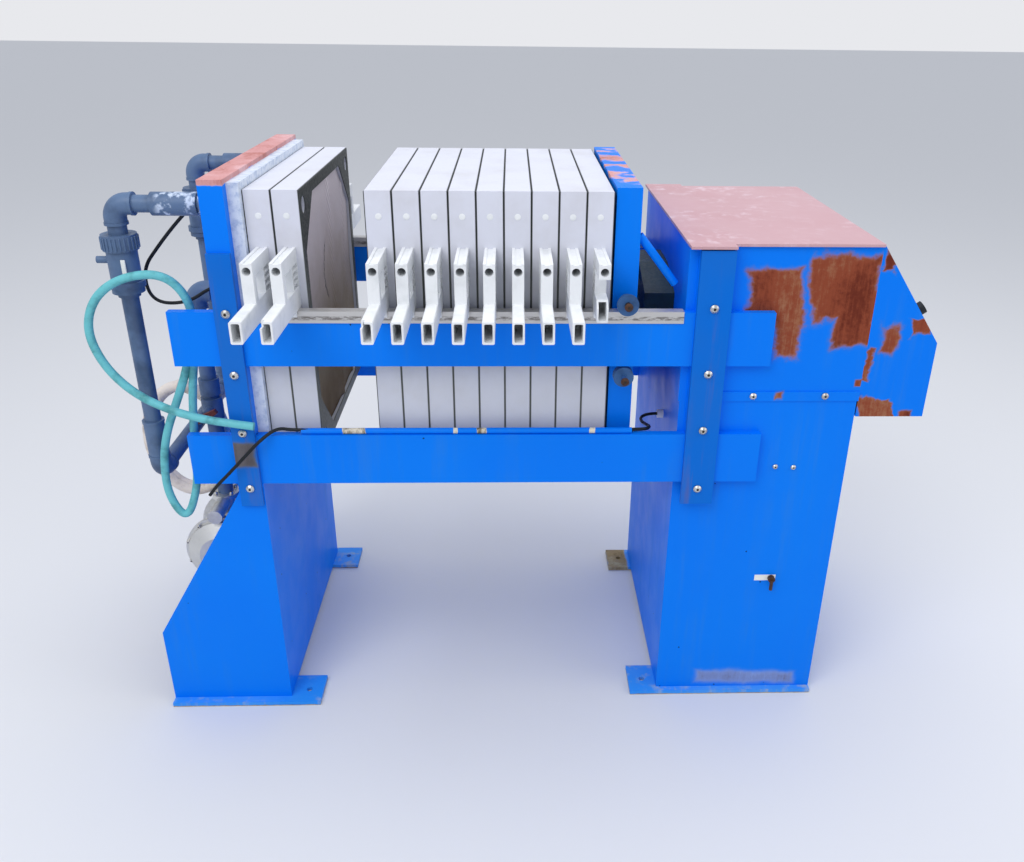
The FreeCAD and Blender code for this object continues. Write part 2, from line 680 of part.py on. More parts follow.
def right_pedestal():
    block = box("right_block", "cabinet_foot_right - cabinet_left - wall / 2", "2 * half_apart",
                "cabinet_base - foot_thick", "cabinet_left + wall / 2", "-half_apart",
                "foot_thick")
    room = box("right_room", "cabinet_foot_right - cabinet_left - 2.5 * wall",
               "2 * (half_apart - wall)", "cabinet_base", "cabinet_left + 1.5 * wall",
               "-half_apart + wall", "0")
    saddle = box("right_saddle", "ram_head_thick", "2 * half_apart - wall", "saddle_thick",
                 "ram_head_left", "-half_apart + wall / 2", "ram_head_base - saddle_thick")
    return fuse("right_pedestal", cut("right_shell", block, room,
                                      ram_head_room("pedestal_head_room")), saddle)


def foot_bar(name, left, right, out, hole_left):
    bar = box(f"{name}_bar", f"{right} - ({left})", "foot_wide", "foot_thick", left, f"-({out})", "0")
    hole = rod(f"{name}_hole", "foot_hole / 2", "3 * foot_thick", hole_left,
               f"-({out}) + hole_from_edge", "-foot_thick", "z")
    return both_sides(name, cut(f"{name}_front", bar, hole))


left_stand = left_pedestal()
right_stand = right_pedestal()
left_feet = foot_bar("left_feet", "pedestal_left", "pedestal_right + left_foot_past",
                     "bar_out + left_foot_proud", "pedestal_right + left_foot_past - hole_from_end")
right_feet = foot_bar("right_feet", "cabinet_left - right_foot_past", "cabinet_foot_right",
                      "half_apart + right_foot_proud",
                      "cabinet_left - right_foot_past + hole_from_end")


# ---------------------------------------------------------------- filtrate pipes

RIGHT, FRONT, BACK, UP, DOWN = (1, 0, 0), (0, -1, 0), (0, 1, 0), (0, 0, 1), (0, 0, -1)


def elbow(name, radius, corner, first, second):
    """A quarter bend whose arms leave the corner along two directions, with a lip on each."""
    ring = tie(doc.addObject("Part::Torus", f"{name}_bend"), Radius1="elbow_bend", Radius2=radius)
    ring.Angle3 = 90
    a, b = FreeCAD.Vector(*first), FreeCAD.Vector(*second)
    ring.Placement = FreeCAD.Placement(FreeCAD.Vector(),
                                       FreeCAD.Rotation(-b, -a, b.cross(a), "XYZ"))
    put(ring, *[f"{place} + ({one + other}) * elbow_bend"
                for place, one, other in zip(corner, first, second)])
    pieces = [ring]
    for word, way in (("first", first), ("second", second)):
        along = "xyz"[[abs(part) for part in way].index(1)]
        forward = sum(way) > 0
        for kind, wide, start, end in (
                ("arm", radius, "elbow_bend", "socket_long"),
                ("lip", f"{radius} + lip_proud", "socket_long - lip_long", "socket_long")):
            near = start if forward else end
            spot = [f"{place} + ({part}) * ({near})" for place, part in zip(corner, way)]
            pieces.append(rod(f"{name}_{word}_{kind}", wide, f"{end} - ({start})", *spot, along))
    return pieces


def port_pipe():
    """From an upper corner port of the head out to the elbow above the riser."""
    side, up = "-port_across", "port_high"
    return fuse("port_pipe",
                rod("port_run", "pipe_radius", "head_left - riser_left - elbow_bend",
                    "riser_left + elbow_bend", side, up, "x"),
                rod("port_coupling", "socket_radius + lip_proud", "coupling_long",
                    "head_left - coupling_out", side, up, "x"),
                rod("port_adapter", "adapter_radius", "adapter_long", "head_left - adapter_long",
                    side, up, "x"),
                *elbow("port_elbow", "socket_radius", ("riser_left", side, up), RIGHT, DOWN),
                rod("port_neck", "pipe_radius + lip_proud", "neck_long", "riser_left", side,
                    f"{up} - socket_long - neck_long", "z"))


def union_nut():
    return rod("union_nut", "union_radius", "union_high", "riser_left", "-port_across",
               "union_base", "z")


def check_valve():
    """The valve body under the union, its lower nut and the small cock on its left."""
    side = "-port_across"
    return fuse("check_body_solid",
                rod("check_body", "check_radius", "check_high", "riser_left", side,
                    "union_base - check_high", "z"),
                rod("check_nut", "check_radius + nut_proud / 3", "nut_high", "riser_left", side,
                    "union_base - check_high - nut_high", "z"),
                rod("check_flange", "check_radius + nut_proud", "nut_high / 2", "riser_left",
                    side, "union_base - check_high - nut_high / 2", "z"),
                rod("check_cock", "cock_radius", "cock_long + check_radius",
                    "riser_left - check_radius - cock_long", side,
                    "union_base - check_high / 3", "x"))


def riser():
    side = "-port_across"
    return fuse("riser_solid",
                rod("riser_pipe", "pipe_radius", "riser_top - cross_pipe_up - elbow_bend",
                    "riser_left", side, "cross_pipe_up + elbow_bend", "z"),
                rod("riser_collar", "socket_radius", "neck_long / 2", "riser_left", side,
                    "riser_top - neck_long / 2", "z"))


def cross_pipe():
    """The pipe that joins both risers below, with a long socket at each corner."""
    pieces = [rod("cross_run", "pipe_radius", "2 * (port_across - elbow_bend)", "riser_left",
                  "-port_across + elbow_bend", "cross_pipe_up", "y")]
    bores = []
    for word, side, inward in (("front", "-port_across", BACK), ("rear", "port_across", FRONT)):
        pieces += elbow(f"cross_{word}", "socket_radius", ("riser_left", side, "cross_pipe_up"),
                        UP, inward)
        pieces.append(rod(f"cross_leg_{word}", "socket_radius",
                          "riser_socket_top - cross_pipe_up - elbow_bend", "riser_left", side,
                          "cross_pipe_up + elbow_bend", "z"))
        pieces.append(rod(f"cross_rim_{word}", "socket_radius + lip_proud", "lip_long",
                          "riser_left", side, "riser_socket_top - lip_long", "z"))
        bores.append(rod(f"cross_bore_{word}", "pipe_radius", "riser_socket_top", "riser_left",
                         side, "cross_pipe_up + elbow_bend", "z"))
    return cut("cross_pipe", fuse("cross_solid", *pieces), *bores)


def feed_pipe():
    """From the feed eye of the head out and down to the ball valve."""
    return fuse("feed_pipe",
                rod("feed_run", "feed_radius", "head_left - feed_left - elbow_bend",
                    "feed_left + elbow_bend", "0", "plate_middle", "x"),
                *elbow("feed_elbow", "feed_socket_radius", ("feed_left", "0", "plate_middle"),
                       RIGHT, DOWN),
                rod("feed_drop", "feed_radius",
                    "plate_middle - elbow_bend - valve_up - valve_high / 2",
                    "feed_left", "0", "valve_up + valve_high / 2", "z"),
                rod("feed_collar", "feed_socket_radius", "socket_long", "feed_left", "0",
                    "valve_up + feed_collar_rise", "z"))


def feed_valve():
    body = fuse("valve_solid",
                rod("valve_body", "valve_radius", "valve_high", "feed_left", "0",
                    "valve_up - valve_high / 2", "z"),
                rod("valve_bonnet", "bonnet_radius", "bonnet_out", "feed_left", "-bonnet_out",
                    "valve_up", "y"),
                rod("valve_tail", "feed_radius", "valve_up - valve_high / 2 - pump_top",
                    "feed_left", "0", "pump_top", "z"))
    bore = rod("valve_bore", "stem_radius + stem_clear", "stem_deep + stem_clear", "feed_left",
               "-bonnet_out", "valve_up", "y")
    return cut("feed_valve", body, bore)


def valve_grip():
    """The T-handle and its stem, tilted as it was left."""
    body = new_body("grip_body")
    bar = [("-grip_long / 2", "-grip_wide / 3"), ("0", "-grip_wide / 2"),
           ("grip_long / 2", "-grip_wide / 3"), ("grip_long / 2", "grip_wide / 3"),
           ("0", "grip_wide / 2"), ("-grip_long / 2", "grip_wide / 3")]
    pad(body, "grip_blade", sketch(body, "grip_outline", "XZ_Plane", [bar]), "grip_thick")
    body.Placement = FreeCAD.Placement(FreeCAD.Vector(),
                                       FreeCAD.Rotation(FreeCAD.Vector(0, 1, 0), -29))
    put(body, "feed_left", "-bonnet_out - grip_clear", "valve_up")
    stem = rod("grip_stem", "stem_radius", "stem_deep + grip_clear + grip_thick / 2", "feed_left",
               "-bonnet_out - grip_clear - grip_thick / 2", "valve_up", "y")
    return fuse("valve_handle", body, stem)


port_pipes = both_sides("port_pipes", port_pipe())
unions = both_sides("unions", union_nut())
check_valves = both_sides("check_valves", check_valve())
risers = both_sides("risers", riser())
cross = cross_pipe()
feed = feed_pipe()
valve = feed_valve()
grip = valve_grip()


# ---------------------------------------------------------------- pump

def pump_chambers():
    """The two round chambers, each with a clamp rim and a domed outer face."""
    dome = tie(doc.addObject("Part::Cone", "chamber_dome"), Radius1="dome_radius",
               Radius2="chamber_radius", Height="dome_thick")
    dome.Placement = FreeCAD.Placement(FreeCAD.Vector(), TURNS["y"])
    put(dome, "feed_left", "-chamber_out", "pump_middle")
    chamber = rod("chamber", "chamber_radius", "chamber_thick - dome_thick", "feed_left",
                  "-chamber_out + dome_thick", "pump_middle", "y")
    rim = rod("chamber_rim", "rim_radius", "rim_thick", "feed_left",
              "-chamber_out + chamber_thick - rim_thick", "pump_middle", "y")
    return both_sides("pump_chambers", fuse("chamber_solid", dome, chamber, rim))


def pump_block():
    """The air block between the chambers, the manifolds with their side risers, and the feet."""
    low = "pump_middle - rim_radius - manifold_radius"
    high = "pump_middle + rim_radius + manifold_radius"
    pieces = [box("air_block", "block_long", "2 * (chamber_out - chamber_thick)", "block_high",
                  "feed_left - block_long / 2", "-chamber_out + chamber_thick",
                  "pump_middle - block_high / 2")]
    for word, up in (("low", low), ("high", high)):
        pieces.append(rod(f"manifold_{word}", "manifold_radius", "2 * chamber_out", "feed_left",
                          "-chamber_out", up, "y"))
    for word, side in (("front", "-chamber_out + manifold_radius"),
                       ("rear", "chamber_out - manifold_radius")):
        pieces.append(rod(f"pump_leg_{word}", "manifold_radius",
                          "pump_middle - rim_radius - shelf_up - shelf_sheet - manifold_radius",
                          "feed_left", side, "shelf_up + shelf_sheet", "z"))
    pieces.append(rod("pump_spine", "manifold_radius", "2 * (rim_radius + manifold_radius)",
                      "feed_left", "0", low, "z"))
    pieces.append(rod("pump_flange", "flange_wide_radius", "pump_flange_thick", "feed_left", "0",
                      "pump_top - pump_flange_thick", "z"))
    return fuse("pump_block", *pieces)


chambers = pump_chambers()
block = pump_block()


# ---------------------------------------------------------------- conduit, glands, latch

def conduit():
    tube = rod("conduit_tube", "conduit_radius", "conduit_right - conduit_left", "conduit_left",
               "-bar_out + bar_thick / 2", "conduit_up", "x")
    bore = rod("conduit_room", "conduit_radius - conduit_wall", "conduit_right - conduit_left", "conduit_left",
               "-bar_out + bar_thick / 2", "conduit_up", "x")
    return cut("conduit", tube, bore)


def latch():
    boss = rod("latch_boss", "latch_radius", "latch_long", "cabinet_left + latch_along",
               "-half_apart - latch_long",
               "latch_up", "y")
    lever = rod("latch_lever", "latch_radius / 2", "latch_lever",
                "cabinet_left + latch_along",
                "-half_apart - latch_long", "latch_up - latch_lever", "z")
    return fuse("latch", boss, lever)


conduit_tube = conduit()
cable_gland = rod("cable_gland", "gland_radius", "gland_long",
                  "cabinet_left + wall / 2 - gland_long", "gland_across", "gland_up", "x")
pedestal_latch = latch()


# ---------------------------------------------------------------- hoses and cables

def route(name, radius, points):
    """A hose of straight runs joined by tangent arcs, swept round."""
    places = [FreeCAD.Vector(*point) for point in points]
    edges, here, tightest = [], places[0], None
    for before, corner, after in zip(places, places[1:], places[2:]):
        inward, outward = corner - before, after - corner
        half_turn = inward.getAngle(outward) / 2
        reach = 0.45 * min(inward.Length, outward.Length)
        bend = reach / math.tan(half_turn)
        tightest = bend if tightest is None else min(tightest, bend)
        start = corner - inward.normalize() * reach
        end = corner + outward.normalize() * reach
        middle_way = (outward - inward).normalize()
        middle = corner + middle_way * (bend / math.cos(half_turn) - bend)
        edges.append(Part.LineSegment(here, start).toShape())
        edges.append(Part.Arc(start, middle, end).toShape())
        here = end
    edges.append(Part.LineSegment(here, places[-1]).toShape())
    path = Part.Wire(edges)
    heading = (places[1] - places[0]).normalize()
    ring = Part.Wire(Part.Circle(places[0], heading, radius).toShape())
    hose = doc.addObject("Part::Feature", name)
    hose.Shape = path.makePipeShell([ring], True, True)
    print(name, "length", round(path.Length), "tightest bend", round(tightest),
          "volume ratio", round(hose.Shape.Volume / (path.Length * math.pi * radius ** 2), 3))
    return hose


TEAL_ROUTE = [
    (-622, -386, 828), (-666, -385, 834), (-745, -376, 843), (-826, -357, 860),
    (-901, -341, 894), (-956, -336, 958), (-979, -335, 1041), (-947, -338, 1119),
    (-876, -341, 1166), (-785, -333, 1172), (-741, -321, 1100), (-757, -317, 1015),
    (-780, -317, 937), (-814, -318, 860), (-849, -320, 783), (-868, -322, 705),
    (-871, -322, 611), (-836, -320, 540), (-798, -318, 636), (-791, -317, 719),
    (-784, -317, 801), (-774, -316, 887), (-759, -316, 964), (-750, -316, 1008),
]
SENSOR_ROUTE = [
    (-686, -225, 1324), (-723, -225, 1314), (-778, -225, 1263), (-827, -225, 1210),
    (-877, -225, 1149), (-867, -225, 1072), (-786, -225, 1070), (-723, -225, 1112),
    (-686, -225, 1120),
]
RAM_CABLE_ROUTE = [
    (347, -135, 746), (325, -135, 746), (300, -160, 748), (296, -208, 756),
    (300, -262, 774), (302, -318, 792), (273, -347, 798), (-541, -347, 798),
    (-577, -352, 810), (-612, -380, 792), (-653, -386, 750), (-697, -387, 704),
    (-731, -384, 670), (-748, -383, 647),
]
def coil():
    """The outer shape of two turns of thick hose that hang oval behind the feed pipe."""
    slabs = []
    for word, inset in (("outside", "0"), ("inside", "2.2 * coil_hose_radius")):
        oval = tie(doc.addObject("Part::Ellipse", f"coil_{word}_oval"),
                   MajorRadius=f"coil_tall - {inset}", MinorRadius=f"coil_wide - {inset}")
        oval.Placement = FreeCAD.Placement(
            FreeCAD.Vector(), FreeCAD.Rotation(FreeCAD.Vector(0, 0, 1), FreeCAD.Vector(1, 0, 0),
                                               FreeCAD.Vector(0, 1, 0), "ZXY"))
        put(oval, "feed_left - coil_aside", "coil_behind", "plate_middle - coil_drop")
        slab = doc.addObject("Part::Extrusion", f"coil_{word}")
        slab.Base, slab.Solid, slab.DirMode, slab.Dir = oval, True, "Custom", (0, 1, 0)
        slabs.append(tie(slab, LengthFwd="coil_thick"))
    return cut("coiled_hose", *slabs)


teal_hose = route("teal_hose", size("hose_radius"), TEAL_ROUTE)
sensor_cable = route("sensor_cable", size("cable_radius"), SENSOR_ROUTE)
ram_cable = route("ram_cable", size("cable_radius"), RAM_CABLE_ROUTE)
coiled_hose = coil()


# ---------------------------------------------------------------- follower's bent tube

def lift_tube():
    """The open bent tube behind the follower."""
    path_points = [(0, 0), (25, -31), (48, -60), (87, -110)]
    start = FreeCAD.Vector(size("follower_right"), size("lift_tube_side_in - follower_half"),
                           size("plate_middle + lift_tube_rise"))
    places = [start + FreeCAD.Vector(along, 0, up) for along, up in path_points]
    path = Part.makePolygon(places)
    heading = places[1] - places[0]
    rings = [Part.Wire(Part.Circle(places[0], heading, size(radius)).toShape())
             for radius in ("lift_tube_radius", "lift_tube_radius - lift_tube_wall")]
    outer, inner = [path.makePipeShell([ring], True, True) for ring in rings]
    tube = doc.addObject("Part::Feature", "lift_tube")
    follower_back = Part.makeBox(60, 60, 60, start - FreeCAD.Vector(60, 30, 30))
    tube.Shape = outer.cut(inner).cut(follower_back)
    return tube


bent_tube = lift_tube()

doc.recompute()

SUB_PARTS = [
    head, face, *plates, pair_handles, pack_handles_front, pack_handles_rear,
    upper_bars, lower_bars, rails, head_straps, ram_straps, back_head, follower, roller_front, roller_rear, upper_axles,
    lower_rollers, ram, ram_yoke, hydraulic_cylinder, cabinet_frame, cover_hems, cabinet_roof,
    rear_hood, hood_knob, left_stand, right_stand, left_feet, right_feet, port_pipes, unions,
    check_valves, risers, cross, feed, valve, grip, chambers, block, conduit_tube,
    cable_gland, pedestal_latch, teal_hose, sensor_cable, ram_cable, coiled_hose, bent_tube,
]

for thing in doc.Objects:
    if "Invalid" in thing.State or "Error" in thing.State:
        raise RuntimeError(f"{thing.Label} did not build")
for part in SUB_PARTS:
    shape = Part.getShape(part)
    if not shape.isValid() or not shape.Solids:
        raise RuntimeError(f"{part.Label} is not a valid solid")
    shape.exportStep(f"parts/{part.Label}.step")
    bounds = shape.BoundBox
    print(part.Label, len(shape.Solids), f"{shape.Volume / 1e6:.2f} l",
          [round(number) for number in (bounds.XMin, bounds.XMax, bounds.YMin, bounds.YMax,
                                        bounds.ZMin, bounds.ZMax)])
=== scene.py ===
"""Finishes, fasteners, hoses, wear and studio of a plate filter press."""

import math
import random

import bmesh
import bpy
from mathutils import Matrix, Vector


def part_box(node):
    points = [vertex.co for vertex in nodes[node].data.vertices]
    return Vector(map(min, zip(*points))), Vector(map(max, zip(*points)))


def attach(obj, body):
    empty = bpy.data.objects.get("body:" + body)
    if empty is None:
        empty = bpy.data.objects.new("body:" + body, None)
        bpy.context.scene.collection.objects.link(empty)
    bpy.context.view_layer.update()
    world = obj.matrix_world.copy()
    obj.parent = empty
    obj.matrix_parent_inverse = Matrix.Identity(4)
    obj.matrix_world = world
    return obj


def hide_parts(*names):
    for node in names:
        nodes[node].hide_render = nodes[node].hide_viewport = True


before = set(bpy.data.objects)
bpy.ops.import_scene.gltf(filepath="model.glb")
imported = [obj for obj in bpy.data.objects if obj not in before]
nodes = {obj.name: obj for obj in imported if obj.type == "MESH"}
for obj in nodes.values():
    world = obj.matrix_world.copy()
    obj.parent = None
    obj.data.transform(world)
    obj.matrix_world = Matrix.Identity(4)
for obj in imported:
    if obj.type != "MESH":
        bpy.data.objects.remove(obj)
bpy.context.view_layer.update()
random.seed(4)


# ---------------------------------------------------------------- shader helpers

def tone(red, green, blue):
    """A colour given as it shows on a screen, from 0 to 255."""
    parts = [value / 255 for value in (red, green, blue)]
    return tuple(p / 12.92 if p <= 0.04045 else ((p + 0.055) / 1.055) ** 2.4 for p in parts) + (1,)


def feed(tree, socket, value):
    """Links a socket to another node's output, or sets it to a plain value."""
    if isinstance(value, bpy.types.NodeSocket):
        tree.links.new(value, socket)
    else:
        socket.default_value = value


def add(tree, kind, inputs=(), **settings):
    made = tree.nodes.new(kind)
    for name, value in settings.items():
        setattr(made, name, value)
    for name, value in dict(inputs).items():
        feed(tree, made.inputs[name], value)
    return made


def calc(tree, operation, first, second=0.0):
    return add(tree, "ShaderNodeMath", {0: first, 1: second}, operation=operation).outputs[0]


def step(tree, value, low, high, least=0.0, most=1.0):
    """Rises smoothly from least to most as the value goes from low to high."""
    inputs = {"Value": value, "From Min": low, "From Max": high, "To Min": least, "To Max": most}
    return add(tree, "ShaderNodeMapRange", inputs, interpolation_type="SMOOTHSTEP").outputs["Result"]


def noise(tree, vector, scale, detail=4.0, roughness=0.55, distortion=0.0):
    inputs = {"Vector": vector, "Scale": scale, "Detail": detail, "Roughness": roughness,
              "Distortion": distortion}
    return add(tree, "ShaderNodeTexNoise", inputs).outputs["Fac"]


def stretched(tree, vector, scale):
    return add(tree, "ShaderNodeMapping", {"Vector": vector, "Scale": scale}).outputs["Vector"]


def blend(tree, mask, first, second):
    mixer = add(tree, "ShaderNodeMix", {"Factor": mask}, data_type="RGBA")
    feed(tree, mixer.inputs["A"], first)
    feed(tree, mixer.inputs["B"], second)
    return mixer.outputs["Result"]


def mix_value(tree, mask, first, second):
    mixer = add(tree, "ShaderNodeMix", {"Factor": mask, "A": first, "B": second},
                data_type="FLOAT")
    return mixer.outputs["Result"]


def axis(tree, vector, name):
    return add(tree, "ShaderNodeSeparateXYZ", {"Vector": vector}).outputs[name]


KINDS = {"vector": "NodeSocketVector", "value": "NodeSocketFloat", "colour": "NodeSocketColor"}


def shader_group(name, inputs, outputs, build):
    """A reusable group: build(tree, inputs) returns the values of its outputs in order."""
    tree = bpy.data.node_groups.new(name, "ShaderNodeTree")
    for label, kind in inputs:
        tree.interface.new_socket(label, in_out="INPUT", socket_type=KINDS[kind])
    for label, kind in outputs:
        tree.interface.new_socket(label, in_out="OUTPUT", socket_type=KINDS[kind])
    start = tree.nodes.new("NodeGroupInput")
    end = tree.nodes.new("NodeGroupOutput")
    for (label, _), value in zip(outputs, build(tree, start.outputs)):
        feed(tree, end.inputs[label], value)
    return tree


def use(tree, group, **inputs):
    """Places a group; inputs are given by their labels in lower case."""
    made = add(tree, "ShaderNodeGroup", node_tree=group)
    for socket in made.inputs:
        if socket.name.lower().replace(" ", "_") in inputs:
            feed(tree, socket, inputs[socket.name.lower().replace(" ", "_")])
    return made.outputs


# ---------------------------------------------------------------- shared effects

def build_patch(tree, given):
    """1 inside a box with ragged, soft edges, 0 outside."""
    wander = add(tree, "ShaderNodeTexNoise", {"Vector": given["Vector"], "Scale": given["Scale"],
                                              "Detail": 5.0, "Roughness": 0.62})
    centred = add(tree, "ShaderNodeVectorMath", {0: wander.outputs["Color"], 1: (0.5, 0.5, 0.5)},
                  operation="SUBTRACT")
    moved = add(tree, "ShaderNodeVectorMath", {0: centred.outputs[0]}, operation="SCALE")
    feed(tree, moved.inputs["Scale"], given["Wander"])
    point = add(tree, "ShaderNodeVectorMath", {0: given["Vector"], 1: moved.outputs[0]},
                operation="ADD").outputs[0]
    above = add(tree, "ShaderNodeVectorMath", {0: point, 1: given["Low"]}, operation="SUBTRACT")
    below = add(tree, "ShaderNodeVectorMath", {0: given["High"], 1: point}, operation="SUBTRACT")
    nearest = add(tree, "ShaderNodeVectorMath", {0: above.outputs[0], 1: below.outputs[0]},
                  operation="MINIMUM").outputs[0]
    parts = add(tree, "ShaderNodeSeparateXYZ", {"Vector": nearest}).outputs
    depth = calc(tree, "MINIMUM", calc(tree, "MINIMUM", parts["X"], parts["Y"]), parts["Z"])
    return [step(tree, calc(tree, "DIVIDE", depth, given["Soft"]), 0.0, 1.0)]


PATCH = shader_group("ragged_patch",
                     [("Vector", "vector"), ("Low", "vector"), ("High", "vector"),
                      ("Soft", "value"), ("Wander", "value"), ("Scale", "value")],
                     [("Mask", "value")], build_patch)


def build_paint(tree, given):
    """Sprayed paint with faint mottling, running dirt and small dark nicks."""
    point = given["Vector"]
    cloud = noise(tree, point, 2.6, 3.0)
    shade = blend(tree, step(tree, cloud, 0.35, 0.7, 0.0, 0.35), given["Paint"], given["Faded"])
    long_way = stretched(tree, point, (1.0, 1.0, 0.06))
    runs = step(tree, noise(tree, long_way, 34.0, 5.0, 0.6), 0.48, 0.72)
    veil = step(tree, noise(tree, point, 5.0, 4.0), 0.35, 0.65)
    dirt = calc(tree, "MULTIPLY", calc(tree, "MULTIPLY", runs, veil), given["Runs"])
    dirty = blend(tree, dirt, shade, given["Dirt"])
    cells = add(tree, "ShaderNodeTexVoronoi", {"Vector": point, "Scale": 21.0, "Randomness": 1.0})
    small = calc(tree, "LESS_THAN", cells.outputs["Distance"], 0.045)
    chosen = calc(tree, "GREATER_THAN", axis(tree, cells.outputs["Color"], "X"), 0.62)
    nick = calc(tree, "MULTIPLY", calc(tree, "MULTIPLY", small, chosen), given["Nicks"])
    colour = blend(tree, nick, dirty, tone(12, 28, 60))
    rough = calc(tree, "ADD", step(tree, noise(tree, point, 9.0), 0.3, 0.7, 0.34, 0.46),
                 calc(tree, "MULTIPLY", dirt, 0.3))
    skin = calc(tree, "MULTIPLY", noise(tree, point, 220.0, 2.0), 0.12)
    return [colour, rough, calc(tree, "SUBTRACT", skin, nick)]


PAINT = shader_group("sprayed_paint",
                     [("Vector", "vector"), ("Paint", "colour"), ("Faded", "colour"),
                      ("Dirt", "colour"), ("Runs", "value"), ("Nicks", "value")],
                     [("Colour", "colour"), ("Roughness", "value"), ("Height", "value")],
                     build_paint)


def build_rust(tree, given):
    """Rust that runs from a grey-brown haze at its rim to a deep red brown inside."""
    point = given["Vector"]
    long_way = stretched(tree, point, (1.0, 1.0, 0.35))
    body = noise(tree, long_way, 9.0, 6.0, 0.6, 0.6)
    grain = noise(tree, stretched(tree, point, (1.0, 1.0, 0.05)), 160.0, 4.0, 0.7)
    speck = noise(tree, point, 90.0, 4.0, 0.7)
    value = calc(tree, "ADD", calc(tree, "MULTIPLY", body, 0.62),
                 calc(tree, "ADD", calc(tree, "MULTIPLY", grain, 0.2),
                      calc(tree, "MULTIPLY", speck, 0.18)))
    inner = blend(tree, step(tree, value, 0.38, 0.5), given["Deep"], given["Red"])
    inner = blend(tree, step(tree, value, 0.5, 0.64), inner, given["Tan"])
    rim = step(tree, given["Mask"], 0.15, 0.75)
    haze = blend(tree, step(tree, given["Mask"], 0.05, 0.5), given["Haze"], given["Tan"])
    return [blend(tree, rim, haze, inner), calc(tree, "MULTIPLY", speck, 0.8)]


RUSTED = shader_group("surface_rust",
                    [("Vector", "vector"), ("Mask", "value"), ("Deep", "colour"),
                     ("Red", "colour"), ("Tan", "colour"), ("Haze", "colour")],
                    [("Colour", "colour"), ("Height", "value")], build_rust)


# ---------------------------------------------------------------- finishes

FAR = 9.0
BLUE = tone(0, 120, 240)
BLUE_FADED = tone(0, 130, 242)
BLUE_DIRT = tone(70, 130, 186)
RUST = {"deep": tone(104, 44, 30), "red": tone(138, 68, 46), "tan": tone(158, 108, 80),
        "haze": tone(84, 112, 160)}
SALMON = {"deep": tone(180, 118, 112), "red": tone(204, 150, 150), "tan": tone(220, 180, 184),
          "haze": tone(110, 150, 220)}
FLAKED = {"deep": tone(96, 84, 62), "red": tone(222, 214, 196), "tan": tone(236, 230, 214),
          "haze": tone(70, 90, 110)}
SCUFF = {"deep": tone(110, 116, 150), "red": tone(122, 140, 190), "tan": tone(134, 158, 214),
         "haze": tone(40, 122, 220)}


def new_finish(name, metallic=0.0, specular=0.5):
    made = bpy.data.materials.new(name)
    made.use_nodes = True
    shader = made.node_tree.nodes["Principled BSDF"]
    shader.inputs["Metallic"].default_value = metallic
    shader.inputs["Specular IOR Level"].default_value = specular
    point = add(made.node_tree, "ShaderNodeTexCoord").outputs["Object"]
    return made, made.node_tree, point


def wire(tree, colour, roughness, height=None, relief=0.0005):
    shader = tree.nodes["Principled BSDF"]
    feed(tree, shader.inputs["Base Color"], colour)
    feed(tree, shader.inputs["Roughness"], roughness)
    if height is not None:
        bump = add(tree, "ShaderNodeBump", {"Strength": 1.0, "Distance": relief, "Height": height})
        feed(tree, shader.inputs["Normal"], bump.outputs["Normal"])


def painted(name, paint=BLUE, faded=BLUE_FADED, dirt=BLUE_DIRT, runs=0.2, nicks=1.0,
            patches=(), tones=RUST, specular=0.1):
    """Painted steel; each patch is (low corner, high corner, softness, wander, scale)."""
    made, tree, point = new_finish(name, specular=specular)
    base = use(tree, PAINT, vector=point, paint=paint, faded=faded, dirt=dirt, runs=runs,
               nicks=nicks)
    colour, rough, height = base["Colour"], base["Roughness"], base["Height"]
    if patches:
        mask = None
        for low, high, soft, wander, scale in patches:
            one = use(tree, PATCH, vector=point, low=low, high=high, soft=soft, wander=wander,
                      scale=scale)["Mask"]
            mask = one if mask is None else calc(tree, "MAXIMUM", mask, one)
        worn = use(tree, RUSTED, vector=point, mask=mask, **tones)
        colour = blend(tree, step(tree, mask, 0.0, 0.6), colour, worn["Colour"])
        rough = mix_value(tree, mask, rough, 0.78)
        height = mix_value(tree, mask, height, worn["Height"])
    wire(tree, colour, rough, height)
    return made


def plastic(name, base, stain, amount, relief=0.0003, rough=(0.42, 0.6), scale=6.0,
            seam_phase=None):
    """Moulded plastic with stains; with a phase, the joints between plates get painted shade and the
    plates turn a little greyer lower down.
    """
    made, tree, point = new_finish(name, specular=0.3)
    cloud = step(tree, noise(tree, point, scale, 5.0, 0.6), 0.42, 0.78, 0.0, amount)
    fine = noise(tree, point, 140.0, 3.0, 0.6)
    colour = blend(tree, cloud, base, stain)
    if seam_phase is not None:
        # Painted shade: thin dark lines along the joints between the plates, standing in for the
        # shade that falls into the gaps.
        along = calc(tree, "SUBTRACT", axis(tree, point, "X"), seam_phase)
        turns = calc(tree, "DIVIDE", along, 0.06)
        off = calc(tree, "ABSOLUTE", calc(tree, "SUBTRACT", turns,
                                          add(tree, "ShaderNodeMath", {0: turns},
                                              operation="ROUND").outputs[0]))
        painted_gap_shade = step(tree, off, 0.02, 0.055, 1.0, 0.0)
        colour = blend(tree, painted_gap_shade, colour, tone(46, 50, 48))
        low = step(tree, axis(tree, point, "Z"), 1.08, 1.28, 0.22, 0.0)
        colour = blend(tree, low, colour, tone(176, 180, 172))
    wire(tree, colour, step(tree, fine, 0.3, 0.7, *rough), fine, relief)
    return made


def metal(name, base, dark, rough=(0.25, 0.45), streak=(1.0, 1.0, 1.0), scale=60.0, amount=0.5):
    made, tree, point = new_finish(name, metallic=1.0)
    grain = noise(tree, stretched(tree, point, streak), scale, 5.0, 0.65)
    marks = step(tree, noise(tree, point, 11.0, 5.0, 0.6), 0.5, 0.75, 0.0, amount)
    wire(tree, blend(tree, marks, base, dark), step(tree, grain, 0.3, 0.7, *rough), grain, 0.0002)
    return made


